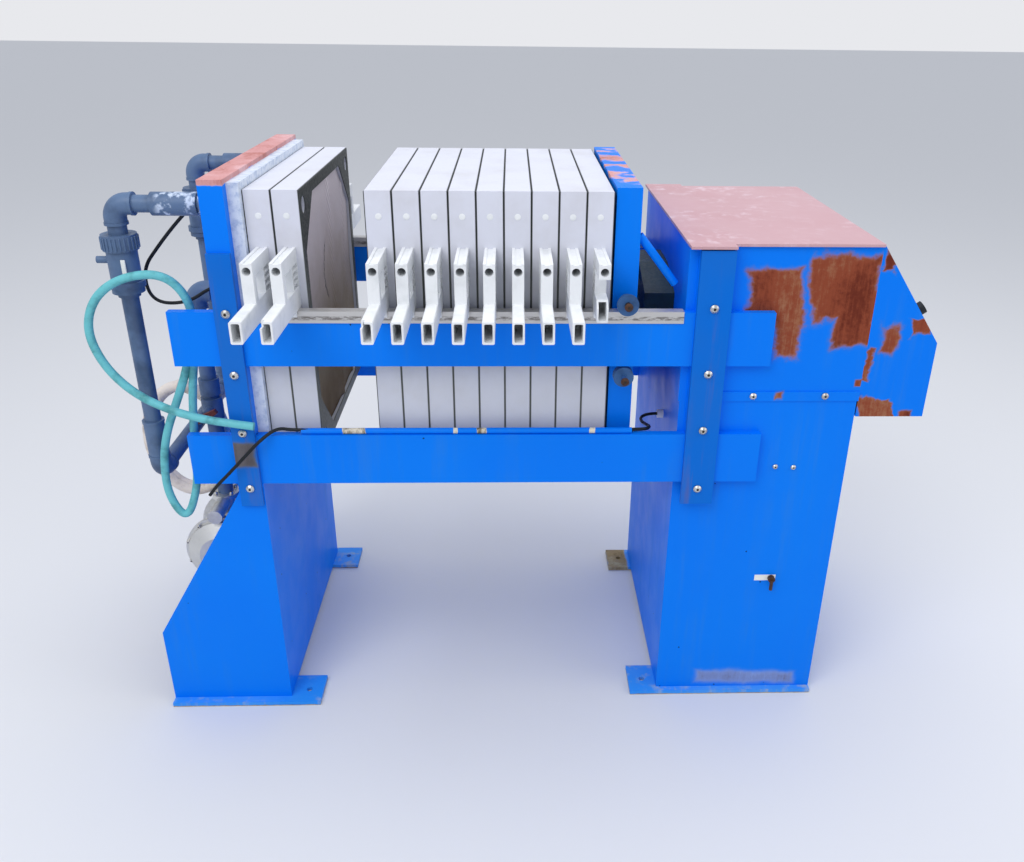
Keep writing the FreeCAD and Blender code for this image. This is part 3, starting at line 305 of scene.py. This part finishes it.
def primed_pvc(name):
    """Grey pipe with splashes of whitish primer on the couplings by the head."""
    made, tree, point = new_finish(name, specular=0.35)
    cloud = step(tree, noise(tree, point, 14.0, 4.0), 0.4, 0.7)
    colour = blend(tree, cloud, tone(88, 112, 146), tone(66, 86, 116))
    near = use(tree, PATCH, vector=point, low=(-0.80, -FAR, 1.24), high=(-0.66, -0.2, 1.36),
               soft=0.02, wander=0.03, scale=16.0)["Mask"]
    splash = calc(tree, "MULTIPLY", near, step(tree, noise(tree, point, 34.0, 4.0), 0.5, 0.6))
    colour = blend(tree, splash, colour, tone(196, 210, 232))
    fine = noise(tree, point, 150.0, 3.0)
    wire(tree, colour, step(tree, fine, 0.3, 0.7, 0.36, 0.52), fine, 0.0003)
    return made


def worn_cloth(name):
    """Twill filter cloth, pinkish white at the top and brown with cake lower down."""
    made, tree, point = new_finish(name, specular=0.15)
    turned = add(tree, "ShaderNodeMapping", {"Vector": point, "Rotation": (0.75, 0.0, 0.0)})
    twill = add(tree, "ShaderNodeTexWave", {"Vector": turned.outputs["Vector"], "Scale": 34.0,
                                            "Distortion": 1.2, "Detail": 2.0},
                bands_direction="Y").outputs["Fac"]
    high = axis(tree, point, "Z")
    wander = noise(tree, point, 5.0, 5.0, 0.6)
    level = calc(tree, "ADD", high, calc(tree, "MULTIPLY", wander, 0.3))
    colour = blend(tree, step(tree, level, 1.05, 1.42), tone(168, 152, 128), tone(236, 226, 232))
    colour = blend(tree, step(tree, level, 0.85, 1.05, 1.0, 0.0), colour, tone(122, 98, 66))
    colour = blend(tree, calc(tree, "MULTIPLY", twill, 0.28), colour, tone(96, 92, 84))
    wire(tree, colour, 0.9, twill, 0.0012)
    return made


def railing(name):
    """Bright angle strip with a speckled dark line along its middle."""
    made, tree, point = new_finish(name, metallic=0.85)
    high = axis(tree, point, "Z")
    off = calc(tree, "ABSOLUTE", calc(tree, "SUBTRACT", high, 1.0785))
    line = step(tree, off, 0.003, 0.006, 1.0, 0.0)
    grit = step(tree, noise(tree, stretched(tree, point, (0.3, 1.0, 1.0)), 180.0, 5.0, 0.7),
                0.38, 0.6)
    mask = calc(tree, "MULTIPLY", calc(tree, "MULTIPLY", line, grit), 0.75)
    colour = blend(tree, mask, tone(206, 204, 202), tone(92, 86, 82))
    wire(tree, colour, step(tree, grit, 0.0, 1.0, 0.3, 0.5), grit, 0.0002)
    return made


def box_patch(x0, x1, z0, z1, soft=0.045, wander=0.12, scale=7.0, y0=-FAR, y1=FAR):
    return ((x0, y0, z0), (x1, y1, z1), soft, wander, scale)


cover_rust = [
    box_patch(0.468, 0.64, 1.045, 1.205), box_patch(0.545, 0.630, 0.958, 1.205),
    box_patch(0.62, 0.82, 1.045, 1.232), box_patch(0.672, 0.82, 0.980, 1.20),
    box_patch(0.768, 0.82, 0.895, 0.930, 0.015, 0.03, 20.0),
    box_patch(0.582, 0.612, 0.866, 0.900, 0.02, 0.03, 20.0),
]
hood_rust = [
    box_patch(0.800, 0.872, 0.975, 1.075), box_patch(0.876, 0.945, 1.018, 1.076, 0.02),
    box_patch(0.78, 0.812, 0.90, 1.01, 0.02), box_patch(0.78, 0.872, 0.80, 0.872, 0.02),
    box_patch(0.80, 0.84, 1.17, 1.24, 0.02), box_patch(0.885, 0.93, 0.80, 0.85, 0.02, 0.03, 16.0),
]
pedestal_scuffs = [
    box_patch(0.45, 0.76, 0.0, 0.085, 0.06, 0.05, 6.0),
]
chips = [box_patch(left, right, 0.0, FAR, 0.004, 0.012, 60.0, -FAR, -0.344)
         for left, right in ((-0.431, -0.374), (-0.172, -0.158), (-0.116, -0.09), (0.15, 0.166))]
BLUE_PAINT = painted("blue_paint")
COVER_PAINT = painted("cover_paint", patches=cover_rust, runs=0.1, nicks=0.4)
HOOD_PAINT = painted("hood_paint", patches=hood_rust, nicks=0.2)
STRAP_PAINT = painted("strap_paint", paint=tone(0, 106, 208), faded=tone(44, 104, 178),
                      dirt=tone(92, 96, 150), runs=0.8, nicks=0.0,
                      patches=[box_patch(-0.70, -0.62, 0.70, 0.79, 0.03, 0.03, 12.0)],
                      tones={"deep": tone(92, 88, 92), "red": tone(104, 100, 104),
                             "tan": tone(96, 108, 128), "haze": tone(40, 100, 180)})
HEAD_PAINT = painted("head_paint", patches=[box_patch(-FAR, FAR, 1.361, FAR, 0.008, 0.014, 24.0)],
                     tones=SALMON, runs=0.05)
FOLLOWER_PAINT = painted("follower_paint", nicks=0.3, runs=0.05,
                         patches=[box_patch(-FAR, FAR, 1.345, FAR, 0.02, 0.08, 9.0, -0.27, 0.02),
                                  box_patch(-FAR, FAR, 1.345, FAR, 0.02, 0.08, 9.0, 0.05, 0.29)],
                         tones=SALMON)
PEDESTAL_PAINT = painted("pedestal_paint", runs=0.15, nicks=1.6, patches=pedestal_scuffs,
                         tones=SCUFF)
CONDUIT_PAINT = painted("conduit_paint", patches=chips, tones=FLAKED, nicks=0.0)
FOOT_PAINT = painted("foot_paint", paint=tone(40, 142, 240), faded=tone(110, 176, 240),
                     dirt=tone(170, 180, 190), runs=0.9, nicks=0.0,
                     patches=[box_patch(0.28, 0.36, -FAR, FAR, 0.02, 0.02, 20.0, 0.2, FAR),
                              box_patch(-FAR, FAR, -FAR, 0.0035, 0.003, 0.006, 40.0)],
                     tones={"deep": tone(96, 80, 60), "red": tone(150, 132, 100),
                            "tan": tone(176, 168, 140), "haze": tone(90, 140, 200)})
ROOF_PAINT = painted("roof_paint", paint=tone(200, 162, 168), faded=tone(182, 134, 138),
                     dirt=tone(226, 208, 216), runs=0.7, nicks=0.0)
PAIR_PLASTIC = plastic("pair_plastic", tone(214, 216, 228), tone(192, 190, 194), 0.5,
                       seam_phase=-0.604)
PACK_PLASTIC = plastic("pack_plastic", tone(214, 216, 228), tone(192, 190, 194), 0.5,
                       seam_phase=-0.348)
FACE_PLASTIC = plastic("face_plastic", tone(214, 222, 234), tone(152, 172, 204), 0.9, scale=70.0)
HANDLE_PLASTIC = plastic("handle_plastic", tone(232, 234, 236), tone(196, 200, 202), 0.6,
                         scale=14.0)
GREY_PVC = primed_pvc("grey_pvc")
WHITE_PLASTIC = plastic("white_plastic", tone(236, 236, 232), tone(200, 200, 196), 0.4)
TEAL_RUBBER = plastic("teal_rubber", tone(104, 188, 196), tone(62, 128, 130), 0.9, scale=26.0)
CREAM_RUBBER = plastic("cream_rubber", tone(226, 216, 206), tone(150, 134, 120), 0.9, scale=20.0)
BLACK_RUBBER = plastic("black_rubber", tone(20, 24, 28), tone(44, 48, 50), 0.5)
ROLLER_PAINT = plastic("roller_finish", tone(56, 96, 146), tone(36, 64, 104), 0.8, scale=40.0)
DARK_STEEL = plastic("dark_steel", tone(38, 34, 32), tone(66, 48, 36), 0.8, scale=30.0)
RUSTY_PEG = plastic("rusty_peg", tone(78, 50, 34), tone(40, 28, 22), 0.9, scale=60.0)
YOKE_PAINT = plastic("yoke_paint", tone(26, 56, 64), tone(14, 26, 32), 0.9, scale=8.0)
RED_GRIP = plastic("red_grip", tone(110, 52, 46), tone(70, 36, 34), 0.8, scale=30.0)
CLOTH = worn_cloth("filter_cloth")
RAIL_STEEL = railing("rail_steel")
STAINLESS = metal("stainless", tone(206, 204, 200), tone(130, 122, 112))
CHROME = metal("chrome", tone(214, 216, 220), tone(160, 162, 166), rough=(0.08, 0.16))
SILVER = metal("pump_silver", tone(214, 214, 212), tone(150, 144, 134), rough=(0.4, 0.6))

NODE_FINISH = {
    "fixed_head": HEAD_PAINT, "face_plate": FACE_PLASTIC, "pair_handles": HANDLE_PLASTIC,
    "pack_handles_front": HANDLE_PLASTIC, "pack_handles_rear": HANDLE_PLASTIC,
    "rails": RAIL_STEEL, "head_straps": STRAP_PAINT, "ram_straps": STRAP_PAINT,
    "follower": FOLLOWER_PAINT, "roller_front": ROLLER_PAINT, "roller_rear": ROLLER_PAINT,
    "upper_axles": DARK_STEEL, "lower_rollers": ROLLER_PAINT, "ram": CHROME,
    "ram_yoke": YOKE_PAINT, "hydraulic_cylinder": DARK_STEEL, "cabinet_frame": COVER_PAINT,
    "cover_hems": COVER_PAINT, "roof": ROOF_PAINT, "rear_hood": HOOD_PAINT,
    "knob": BLACK_RUBBER, "left_pedestal": PEDESTAL_PAINT, "right_pedestal": PEDESTAL_PAINT,
    "left_feet": FOOT_PAINT, "right_feet": FOOT_PAINT, "port_pipes": GREY_PVC,
    "unions": GREY_PVC, "check_valves": GREY_PVC, "risers": GREY_PVC, "cross_pipe": GREY_PVC,
    "feed_pipe": GREY_PVC, "feed_valve": GREY_PVC, "valve_handle": RED_GRIP,
    "pump_chambers": SILVER, "pump_block": SILVER, "conduit": CONDUIT_PAINT,
    "cable_gland": WHITE_PLASTIC, "latch": RUSTY_PEG,
    "filter_plate_01": PAIR_PLASTIC, "filter_plate_02": PAIR_PLASTIC,
}
for name, node in nodes.items():
    plain = PACK_PLASTIC if name.startswith("filter_plate") else BLUE_PAINT
    node.data.materials.clear()
    node.data.materials.append(NODE_FINISH.get(name, plain))


# ---------------------------------------------------------------- hoses and cables

def link(made):
    bpy.context.scene.collection.objects.link(made)
    return made


def cord(name, route, radius, look):
    """A smooth hose whose route is given in millimetres."""
    line = bpy.data.curves.new(name, "CURVE")
    line.dimensions = "3D"
    line.resolution_u = 10
    line.bevel_depth = radius
    line.bevel_resolution = 5
    line.use_fill_caps = True
    spline = line.splines.new("NURBS")
    spline.points.add(len(route) - 1)
    for point, place in zip(spline.points, route):
        point.co = (*[value / 1000 for value in place], 1.0)
    spline.order_u = 3
    spline.use_endpoint_u = True
    line.materials.append(look)
    return link(bpy.data.objects.new(name, line))


TEAL_ROUTE = [
    (-622, -386, 828), (-666, -385, 834), (-745, -376, 843), (-826, -357, 860),
    (-901, -341, 894), (-956, -336, 958), (-979, -335, 1041), (-947, -338, 1119),
    (-876, -341, 1166), (-785, -333, 1172), (-741, -321, 1100), (-757, -317, 1015),
    (-780, -317, 937), (-814, -318, 860), (-849, -320, 783), (-868, -322, 705),
    (-871, -322, 611), (-836, -320, 540), (-798, -318, 636), (-791, -317, 719),
    (-784, -317, 801), (-774, -316, 887), (-759, -316, 964), (-750, -316, 1008),
]
SENSOR_ROUTE = [
    (-686, -225, 1324), (-723, -225, 1314), (-778, -225, 1263), (-827, -225, 1210),
    (-877, -225, 1149), (-867, -225, 1072), (-786, -225, 1070), (-723, -225, 1112),
    (-686, -225, 1120),
]
RAM_CABLE_ROUTE = [
    (347, -135, 746), (325, -135, 746), (300, -160, 748), (296, -208, 756),
    (300, -262, 774), (302, -318, 792), (273, -347, 798), (-541, -347, 798),
    (-577, -352, 810), (-612, -380, 792), (-653, -386, 750), (-697, -387, 704),
    (-731, -384, 670), (-748, -383, 647),
]
COIL_STEPS = 15


def coil_route():
    """Two oval turns side by side, the second a little smaller and lower."""
    low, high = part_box("coiled_hose")
    middle_x, middle_z = 500 * (low[0] + high[0]), 500 * (low[2] + high[2])
    points = []
    for number in range(2 * COIL_STEPS + 1):
        angle = 2 * math.pi * number / COIL_STEPS
        turn = number / (2 * COIL_STEPS)
        wide = 113 - 5 * turn + 2 * math.sin(3 * angle)
        tall = 168 - 7 * turn
        points.append((middle_x + wide * math.sin(angle),
                       1000 * low[1] + 15 + 33 * turn,
                       middle_z + tall * math.cos(angle) - 3 * turn))
    return points


teal_hose = cord("teal_hose_line", TEAL_ROUTE, 0.0095, TEAL_RUBBER)
sensor_cable = cord("sensor_cable_line", SENSOR_ROUTE, 0.004, BLACK_RUBBER)
ram_cable = cord("ram_cable_line", RAM_CABLE_ROUTE, 0.004, BLACK_RUBBER)
coiled_hose = cord("coiled_hose_line", coil_route(), 0.015, CREAM_RUBBER)
for piece, node, slot in ((teal_hose, "teal_hose", "teal_rubber"),
                          (sensor_cable, "sensor_cable", "black_rubber"),
                          (ram_cable, "ram_cable", "black_rubber"),
                          (coiled_hose, "coiled_hose", "cream_rubber")):
    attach(piece, "frame")
    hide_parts(node)


# ---------------------------------------------------------------- fasteners

def head_tree():
    """Button heads on points: a round head with a domed top and a dark hexagon socket."""
    tree = bpy.data.node_groups.new("button_heads", "GeometryNodeTree")
    tree.interface.new_socket("Points", in_out="INPUT", socket_type="NodeSocketGeometry")
    for label, kind in (("Radius", "NodeSocketFloat"), ("Height", "NodeSocketFloat"),
                        ("Turn", "NodeSocketVector"), ("Finish", "NodeSocketMaterial"),
                        ("Socket finish", "NodeSocketMaterial")):
        tree.interface.new_socket(label, in_out="INPUT", socket_type=kind)
    tree.interface.new_socket("Heads", in_out="OUTPUT", socket_type="NodeSocketGeometry")
    given = tree.nodes.new("NodeGroupInput").outputs

    def times(first, second):
        return add(tree, "ShaderNodeMath", {0: first, 1: second}, operation="MULTIPLY").outputs[0]

    def lifted(mesh, distance):
        offset = add(tree, "ShaderNodeCombineXYZ", {"Z": distance}).outputs[0]
        return add(tree, "GeometryNodeTransform", {"Geometry": mesh, "Translation": offset}
                   ).outputs["Geometry"]

    rim_high = times(given["Height"], 0.5)
    rim = add(tree, "GeometryNodeMeshCylinder", {"Vertices": 20, "Radius": given["Radius"],
                                                 "Depth": rim_high}).outputs["Mesh"]
    dome = add(tree, "GeometryNodeMeshCone", {"Vertices": 20, "Depth": rim_high,
                                              "Radius Bottom": given["Radius"],
                                              "Radius Top": times(given["Radius"], 0.62)}
               ).outputs["Mesh"]
    pit = add(tree, "GeometryNodeMeshCylinder", {"Vertices": 6, "Depth": rim_high,
                                                 "Radius": times(given["Radius"], 0.36)}
              ).outputs["Mesh"]
    solid = add(tree, "GeometryNodeJoinGeometry")
    tree.links.new(lifted(rim, times(given["Height"], 0.25)), solid.inputs[0])
    tree.links.new(lifted(dome, rim_high), solid.inputs[0])
    coated = add(tree, "GeometryNodeSetMaterial", {"Geometry": solid.outputs[0],
                                                   "Material": given["Finish"]})
    hollow = add(tree, "GeometryNodeSetMaterial",
                 {"Geometry": lifted(pit, times(given["Height"], 0.78)),
                  "Material": given["Socket finish"]})
    both = add(tree, "GeometryNodeJoinGeometry")
    tree.links.new(coated.outputs[0], both.inputs[0])
    tree.links.new(hollow.outputs[0], both.inputs[0])
    dots = add(tree, "GeometryNodeInstanceOnPoints", {"Points": given["Points"],
                                                      "Instance": both.outputs[0],
                                                      "Rotation": given["Turn"]})
    real = add(tree, "GeometryNodeRealizeInstances", {"Geometry": dots.outputs[0]})
    out = tree.nodes.new("NodeGroupOutput")
    tree.links.new(real.outputs[0], out.inputs[0])
    return tree


HEAD_TREE = head_tree()
TURNS = {"front": (math.pi / 2, 0, 0), "rear": (-math.pi / 2, 0, 0), "up": (0, 0, 0),
         "left": (0, -math.pi / 2, 0)}


def heads(name, places, way, radius, height, body, look=None, socket_look=None):
    """Button heads at places in metres, as one plain mesh that rides on a body."""
    seeds = bpy.data.meshes.new(f"{name}_seeds")
    seeds.from_pydata(places, [], [])
    holder = link(bpy.data.objects.new(f"{name}_holder", seeds))
    grow = holder.modifiers.new("heads", "NODES")
    grow.node_group = HEAD_TREE
    values = {"Radius": radius, "Height": height, "Turn": TURNS[way],
              "Finish": look or STAINLESS, "Socket finish": socket_look or DARK_STEEL}
    for socket in HEAD_TREE.interface.items_tree:
        if socket.name in values:
            grow[socket.identifier] = values[socket.name]
    evaluated = holder.evaluated_get(bpy.context.evaluated_depsgraph_get())
    mesh = bpy.data.meshes.new_from_object(evaluated)
    mesh.name = name
    bpy.data.objects.remove(holder)
    piece = link(bpy.data.objects.new(name, mesh))
    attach(piece, body)
    return piece


strap_low, strap_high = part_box("head_straps")
head_x = (strap_low[0] + strap_high[0]) / 2
ram_strap_low, ram_strap_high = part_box("ram_straps")
ram_x = (ram_strap_low[0] + ram_strap_high[0]) / 2
HEAD_BOLT_HEIGHTS = (1.090, 0.946, 0.802, 0.656)
RAM_BOLT_HEIGHTS = (1.104, 0.948, 0.806, 0.650)
strap_bolts = [(head_x, z) for z in HEAD_BOLT_HEIGHTS] + [(ram_x, z) for z in RAM_BOLT_HEIGHTS]
heads("strap_bolts_front", [(x, strap_low[1], z) for x, z in strap_bolts], "front",
      0.0098, 0.007, "frame")
heads("strap_bolts_rear", [(x, strap_high[1], z) for x, z in strap_bolts], "rear",
      0.0098, 0.007, "frame")
COVER_SCREWS = (0.535, 0.706)
hem_low, hem_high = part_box("cover_hems")
hem_z = hem_low[2] + 0.013
heads("cover_screws_front", [(x, hem_low[1], hem_z) for x in COVER_SCREWS], "front",
      0.0085, 0.005, "frame")
heads("cover_screws_rear", [(x, hem_high[1], hem_z) for x in COVER_SCREWS], "rear",
      0.0085, 0.005, "frame")
stand_low, stand_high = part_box("right_pedestal")
heads("pedestal_screws", [(0.611, stand_low[1], 0.694), (0.656, stand_low[1], 0.692)], "front",
      0.0065, 0.005, "frame")

axle_low, axle_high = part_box("upper_axles")
lower_low, lower_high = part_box("lower_rollers")
axle_x = (axle_low[0] + axle_high[0]) / 2
axle_z = [(low[2] + high[2]) / 2 for low, high in ((axle_low, axle_high), (lower_low, lower_high))]
heads("axle_bolts_front", [(axle_x, axle_low[1] + 0.004, z) for z in axle_z], "front",
      0.0095, 0.006, "follower", RUSTY_PEG)
heads("axle_bolts_rear", [(axle_x, axle_high[1] - 0.004, z) for z in axle_z], "rear",
      0.0095, 0.006, "follower", RUSTY_PEG)


def plug_marks(name, plate_names, look, body):
    """The moulded plug in each plate's front and rear edge."""
    for word, way, side in (("front", "front", 0), ("rear", "rear", 1)):
        places = []
        for plate in plate_names:
            low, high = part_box(plate)
            places.append(((low[0] + high[0]) / 2, (low, high)[side][1], high[2] - 0.055))
        heads(f"{name}_{word}", places, way, 0.007, 0.0012, body, look, look)


plate_names = sorted(name for name in nodes if name.startswith("filter_plate"))
plug_marks("pair_plugs", plate_names[:2], HANDLE_PLASTIC, "frame")
plug_marks("pack_plugs", plate_names[2:], HANDLE_PLASTIC, "plate_pack")

pump_low, pump_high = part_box("pump_chambers")
pump_x, pump_z = (pump_low[0] + pump_high[0]) / 2, (pump_low[2] + pump_high[2]) / 2
RIM_BOLTS = 10
RIM_CIRCLE = 0.099
RIM_OUT = 0.084
ring = [(pump_x + RIM_CIRCLE * math.cos(turn), pump_z + RIM_CIRCLE * math.sin(turn))
        for turn in (2 * math.pi * (number + 0.5) / RIM_BOLTS for number in range(RIM_BOLTS))]
heads("pump_bolts_front", [(x, -RIM_OUT, z) for x, z in ring], "front", 0.006, 0.010, "frame")
heads("pump_bolts_rear", [(x, RIM_OUT, z) for x, z in ring], "rear", 0.006, 0.010, "frame")
flange_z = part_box("pump_block")[1][2]
heads("flange_bolts", [(pump_x + 0.030 * math.cos(turn), 0.030 * math.sin(turn), flange_z)
                       for turn in (math.pi / 4 + math.pi / 2 * number for number in range(4))],
      "up", 0.0055, 0.008, "frame")


# ---------------------------------------------------------------- ribs, labels and cloth

def mesh_piece(name, build, look, body):
    """A piece whose mesh a build function fills."""
    work = bmesh.new()
    build(work)
    bmesh.ops.recalc_face_normals(work, faces=work.faces)
    mesh = bpy.data.meshes.new(name)
    work.to_mesh(mesh)
    work.free()
    mesh.materials.append(look)
    piece = link(bpy.data.objects.new(name, mesh))
    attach(piece, body)
    return piece


def block(work, low, high, turn=0.0, about=(0, 0, 0)):
    """A bevelled block, turned round the Z line through a point."""
    size = [b - a for a, b in zip(low, high)]
    middle = [(a + b) / 2 for a, b in zip(low, high)]
    place = Matrix.Translation(middle) @ Matrix.Diagonal((*size, 1))
    swing = Matrix.Translation(about) @ Matrix.Rotation(turn, 4, "Z") @ Matrix.Translation(
        [-value for value in about])
    made = bmesh.ops.create_cube(work, size=1.0, matrix=swing @ place)
    edges = {edge for vertex in made["verts"] for edge in vertex.link_edges}
    bmesh.ops.bevel(work, geom=list(edges), offset=min(size) * 0.3, segments=1,
                    affect="EDGES", profile=0.7)


UNION_RIBS = 26


def union_ribs(work):
    low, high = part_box("unions")
    middle_x = (low[0] + high[0]) / 2
    for side in (low[1] + 0.038, high[1] - 0.038):
        centre = (middle_x, side, 0)
        for number in range(UNION_RIBS):
            block(work, (middle_x + 0.037, side - 0.0022, low[2] + 0.003),
                  (middle_x + 0.0405, side + 0.0022, high[2] - 0.004),
                  2 * math.pi * number / UNION_RIBS, centre)


mesh_piece("union_ribs", union_ribs, GREY_PVC, "frame")
mesh_piece("blank_plate", lambda work: block(work, (0.596, stand_low[1] - 0.0012, 0.361),
                                             (0.651, stand_low[1], 0.378)),
           WHITE_PLASTIC, "frame")
mesh_piece("blank_tag", lambda work: block(work, (-0.886, -0.3115, 1.150),
                                           (-0.876, -0.3085, 1.194)),
           WHITE_PLASTIC, "frame")


RECESS = 0.014
PLATE_RIM = 0.029
CORNER_CUT = 0.111
CLOTH_STEPS = 72


def cloth_height(y, z):
    """How far the cloth stands off the chamber floor: a pleat, creases and a soft swell."""
    pleat = 0.006 * math.exp(-((y - 0.02 - 0.05 * (z - 1.0)) / 0.018) ** 2)
    swell = 0.003 * math.sin(9 * y + 2) * math.sin(6 * z)
    crease = 0.003 * math.exp(-((y - 0.20 - 0.1 * (z - 1.0)) / 0.012) ** 2)
    return 0.002 + pleat + crease + abs(swell)


def filter_cloth(work):
    """A sheet that fills the cut-cornered chamber, with one slit low in its middle."""
    low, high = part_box("filter_plate_02")
    floor = high[0] - RECESS
    half = (high[1] - low[1]) / 2 - PLATE_RIM
    middle = (low[2] + high[2]) / 2
    steps = CLOTH_STEPS
    pitch = 2 * half / steps
    grid = {}
    for row in range(steps + 1):
        for column in range(steps + 1):
            y, z = -half + column * pitch, middle - half + row * pitch
            over = abs(y) + abs(z - middle) - (2 * half - CORNER_CUT)
            if over > 0:
                y -= math.copysign(over / 2, y)
                z -= math.copysign(over / 2, z - middle)
            if over < 2 * pitch:
                grid[row, column] = work.verts.new((floor + cloth_height(y, z), y, z))
    for row in range(steps):
        for column in range(steps):
            y, z = -half + (column + 0.5) * pitch, middle - half + (row + 0.5) * pitch
            slit = abs(y + 0.06 + 0.02 * math.sin(30 * z)) < 0.5 * pitch and 1.03 < z < 1.17
            keys = [(row, column), (row, column + 1), (row + 1, column + 1), (row + 1, column)]
            if not slit and all(key in grid for key in keys):
                work.faces.new([grid[key] for key in keys])
    bmesh.ops.dissolve_degenerate(work, dist=0.0005, edges=work.edges)


cloth = mesh_piece("filter_cloth_sheet", filter_cloth, CLOTH, "frame")
thick = cloth.modifiers.new("thickness", "SOLIDIFY")
thick.thickness = 0.0012
for face in cloth.data.polygons:
    face.use_smooth = True


# ---------------------------------------------------------------- studio

def studio():
    ground = bpy.data.meshes.new("studio_floor")
    reach = 40.0
    ground.from_pydata([(-reach, -reach, 0), (reach, -reach, 0), (reach, reach, 0),
                        (-reach, reach, 0)], [], [(0, 1, 2, 3)])
    floor = link(bpy.data.objects.new("studio_floor", ground))
    pale, tree, _ = new_finish("studio_floor", specular=0.1)
    wire(tree, tone(222, 223, 226), 0.9)
    ground.materials.append(pale)

    world = bpy.data.worlds.new("studio_air")
    bpy.context.scene.world = world
    world.use_nodes = True
    air = world.node_tree
    sky = air.nodes["Background"]
    sky.inputs["Color"].default_value = tone(236, 240, 248)
    sky.inputs["Strength"].default_value = 0.8
    seen = add(air, "ShaderNodeBackground", {"Color": tone(232, 233, 237), "Strength": 1.0})
    looking = add(air, "ShaderNodeLightPath").outputs["Is Camera Ray"]
    chosen = add(air, "ShaderNodeMixShader", {"Fac": looking})
    air.links.new(sky.outputs[0], chosen.inputs[1])
    air.links.new(seen.outputs[0], chosen.inputs[2])
    air.links.new(chosen.outputs[0], air.nodes["World Output"].inputs["Surface"])

    aim = Vector((0, 0, 0.7))
    for name, place, size, power in (("key_light", (-1.8, -3.2, 4.6), 3.0, 105),
                                     ("top_light", (0.4, 0.8, 4.8), 3.4, 60),
                                     ("side_light", (4.2, -1.4, 2.6), 2.6, 30)):
        lamp = bpy.data.lights.new(name, "AREA")
        lamp.energy = power
        lamp.size = size
        light = link(bpy.data.objects.new(name, lamp))
        light.location = place
        light.rotation_euler = (aim - Vector(place)).to_track_quat("-Z", "Y").to_euler()


def camera():
    eye = bpy.data.cameras.new("eye")
    eye.sensor_width = 36
    eye.lens = 31.92
    eye.shift_x = -0.0298
    eye.shift_y = -0.0013
    view = link(bpy.data.objects.new("eye", eye))
    view.location = (-0.0311, -2.2888, 1.7138)
    view.rotation_euler = [math.radians(angle) for angle in (64.808, -0.679, -1.791)]
    bpy.context.scene.camera = view


studio()
camera()
bpy.context.scene.view_settings.view_transform = "Standard"
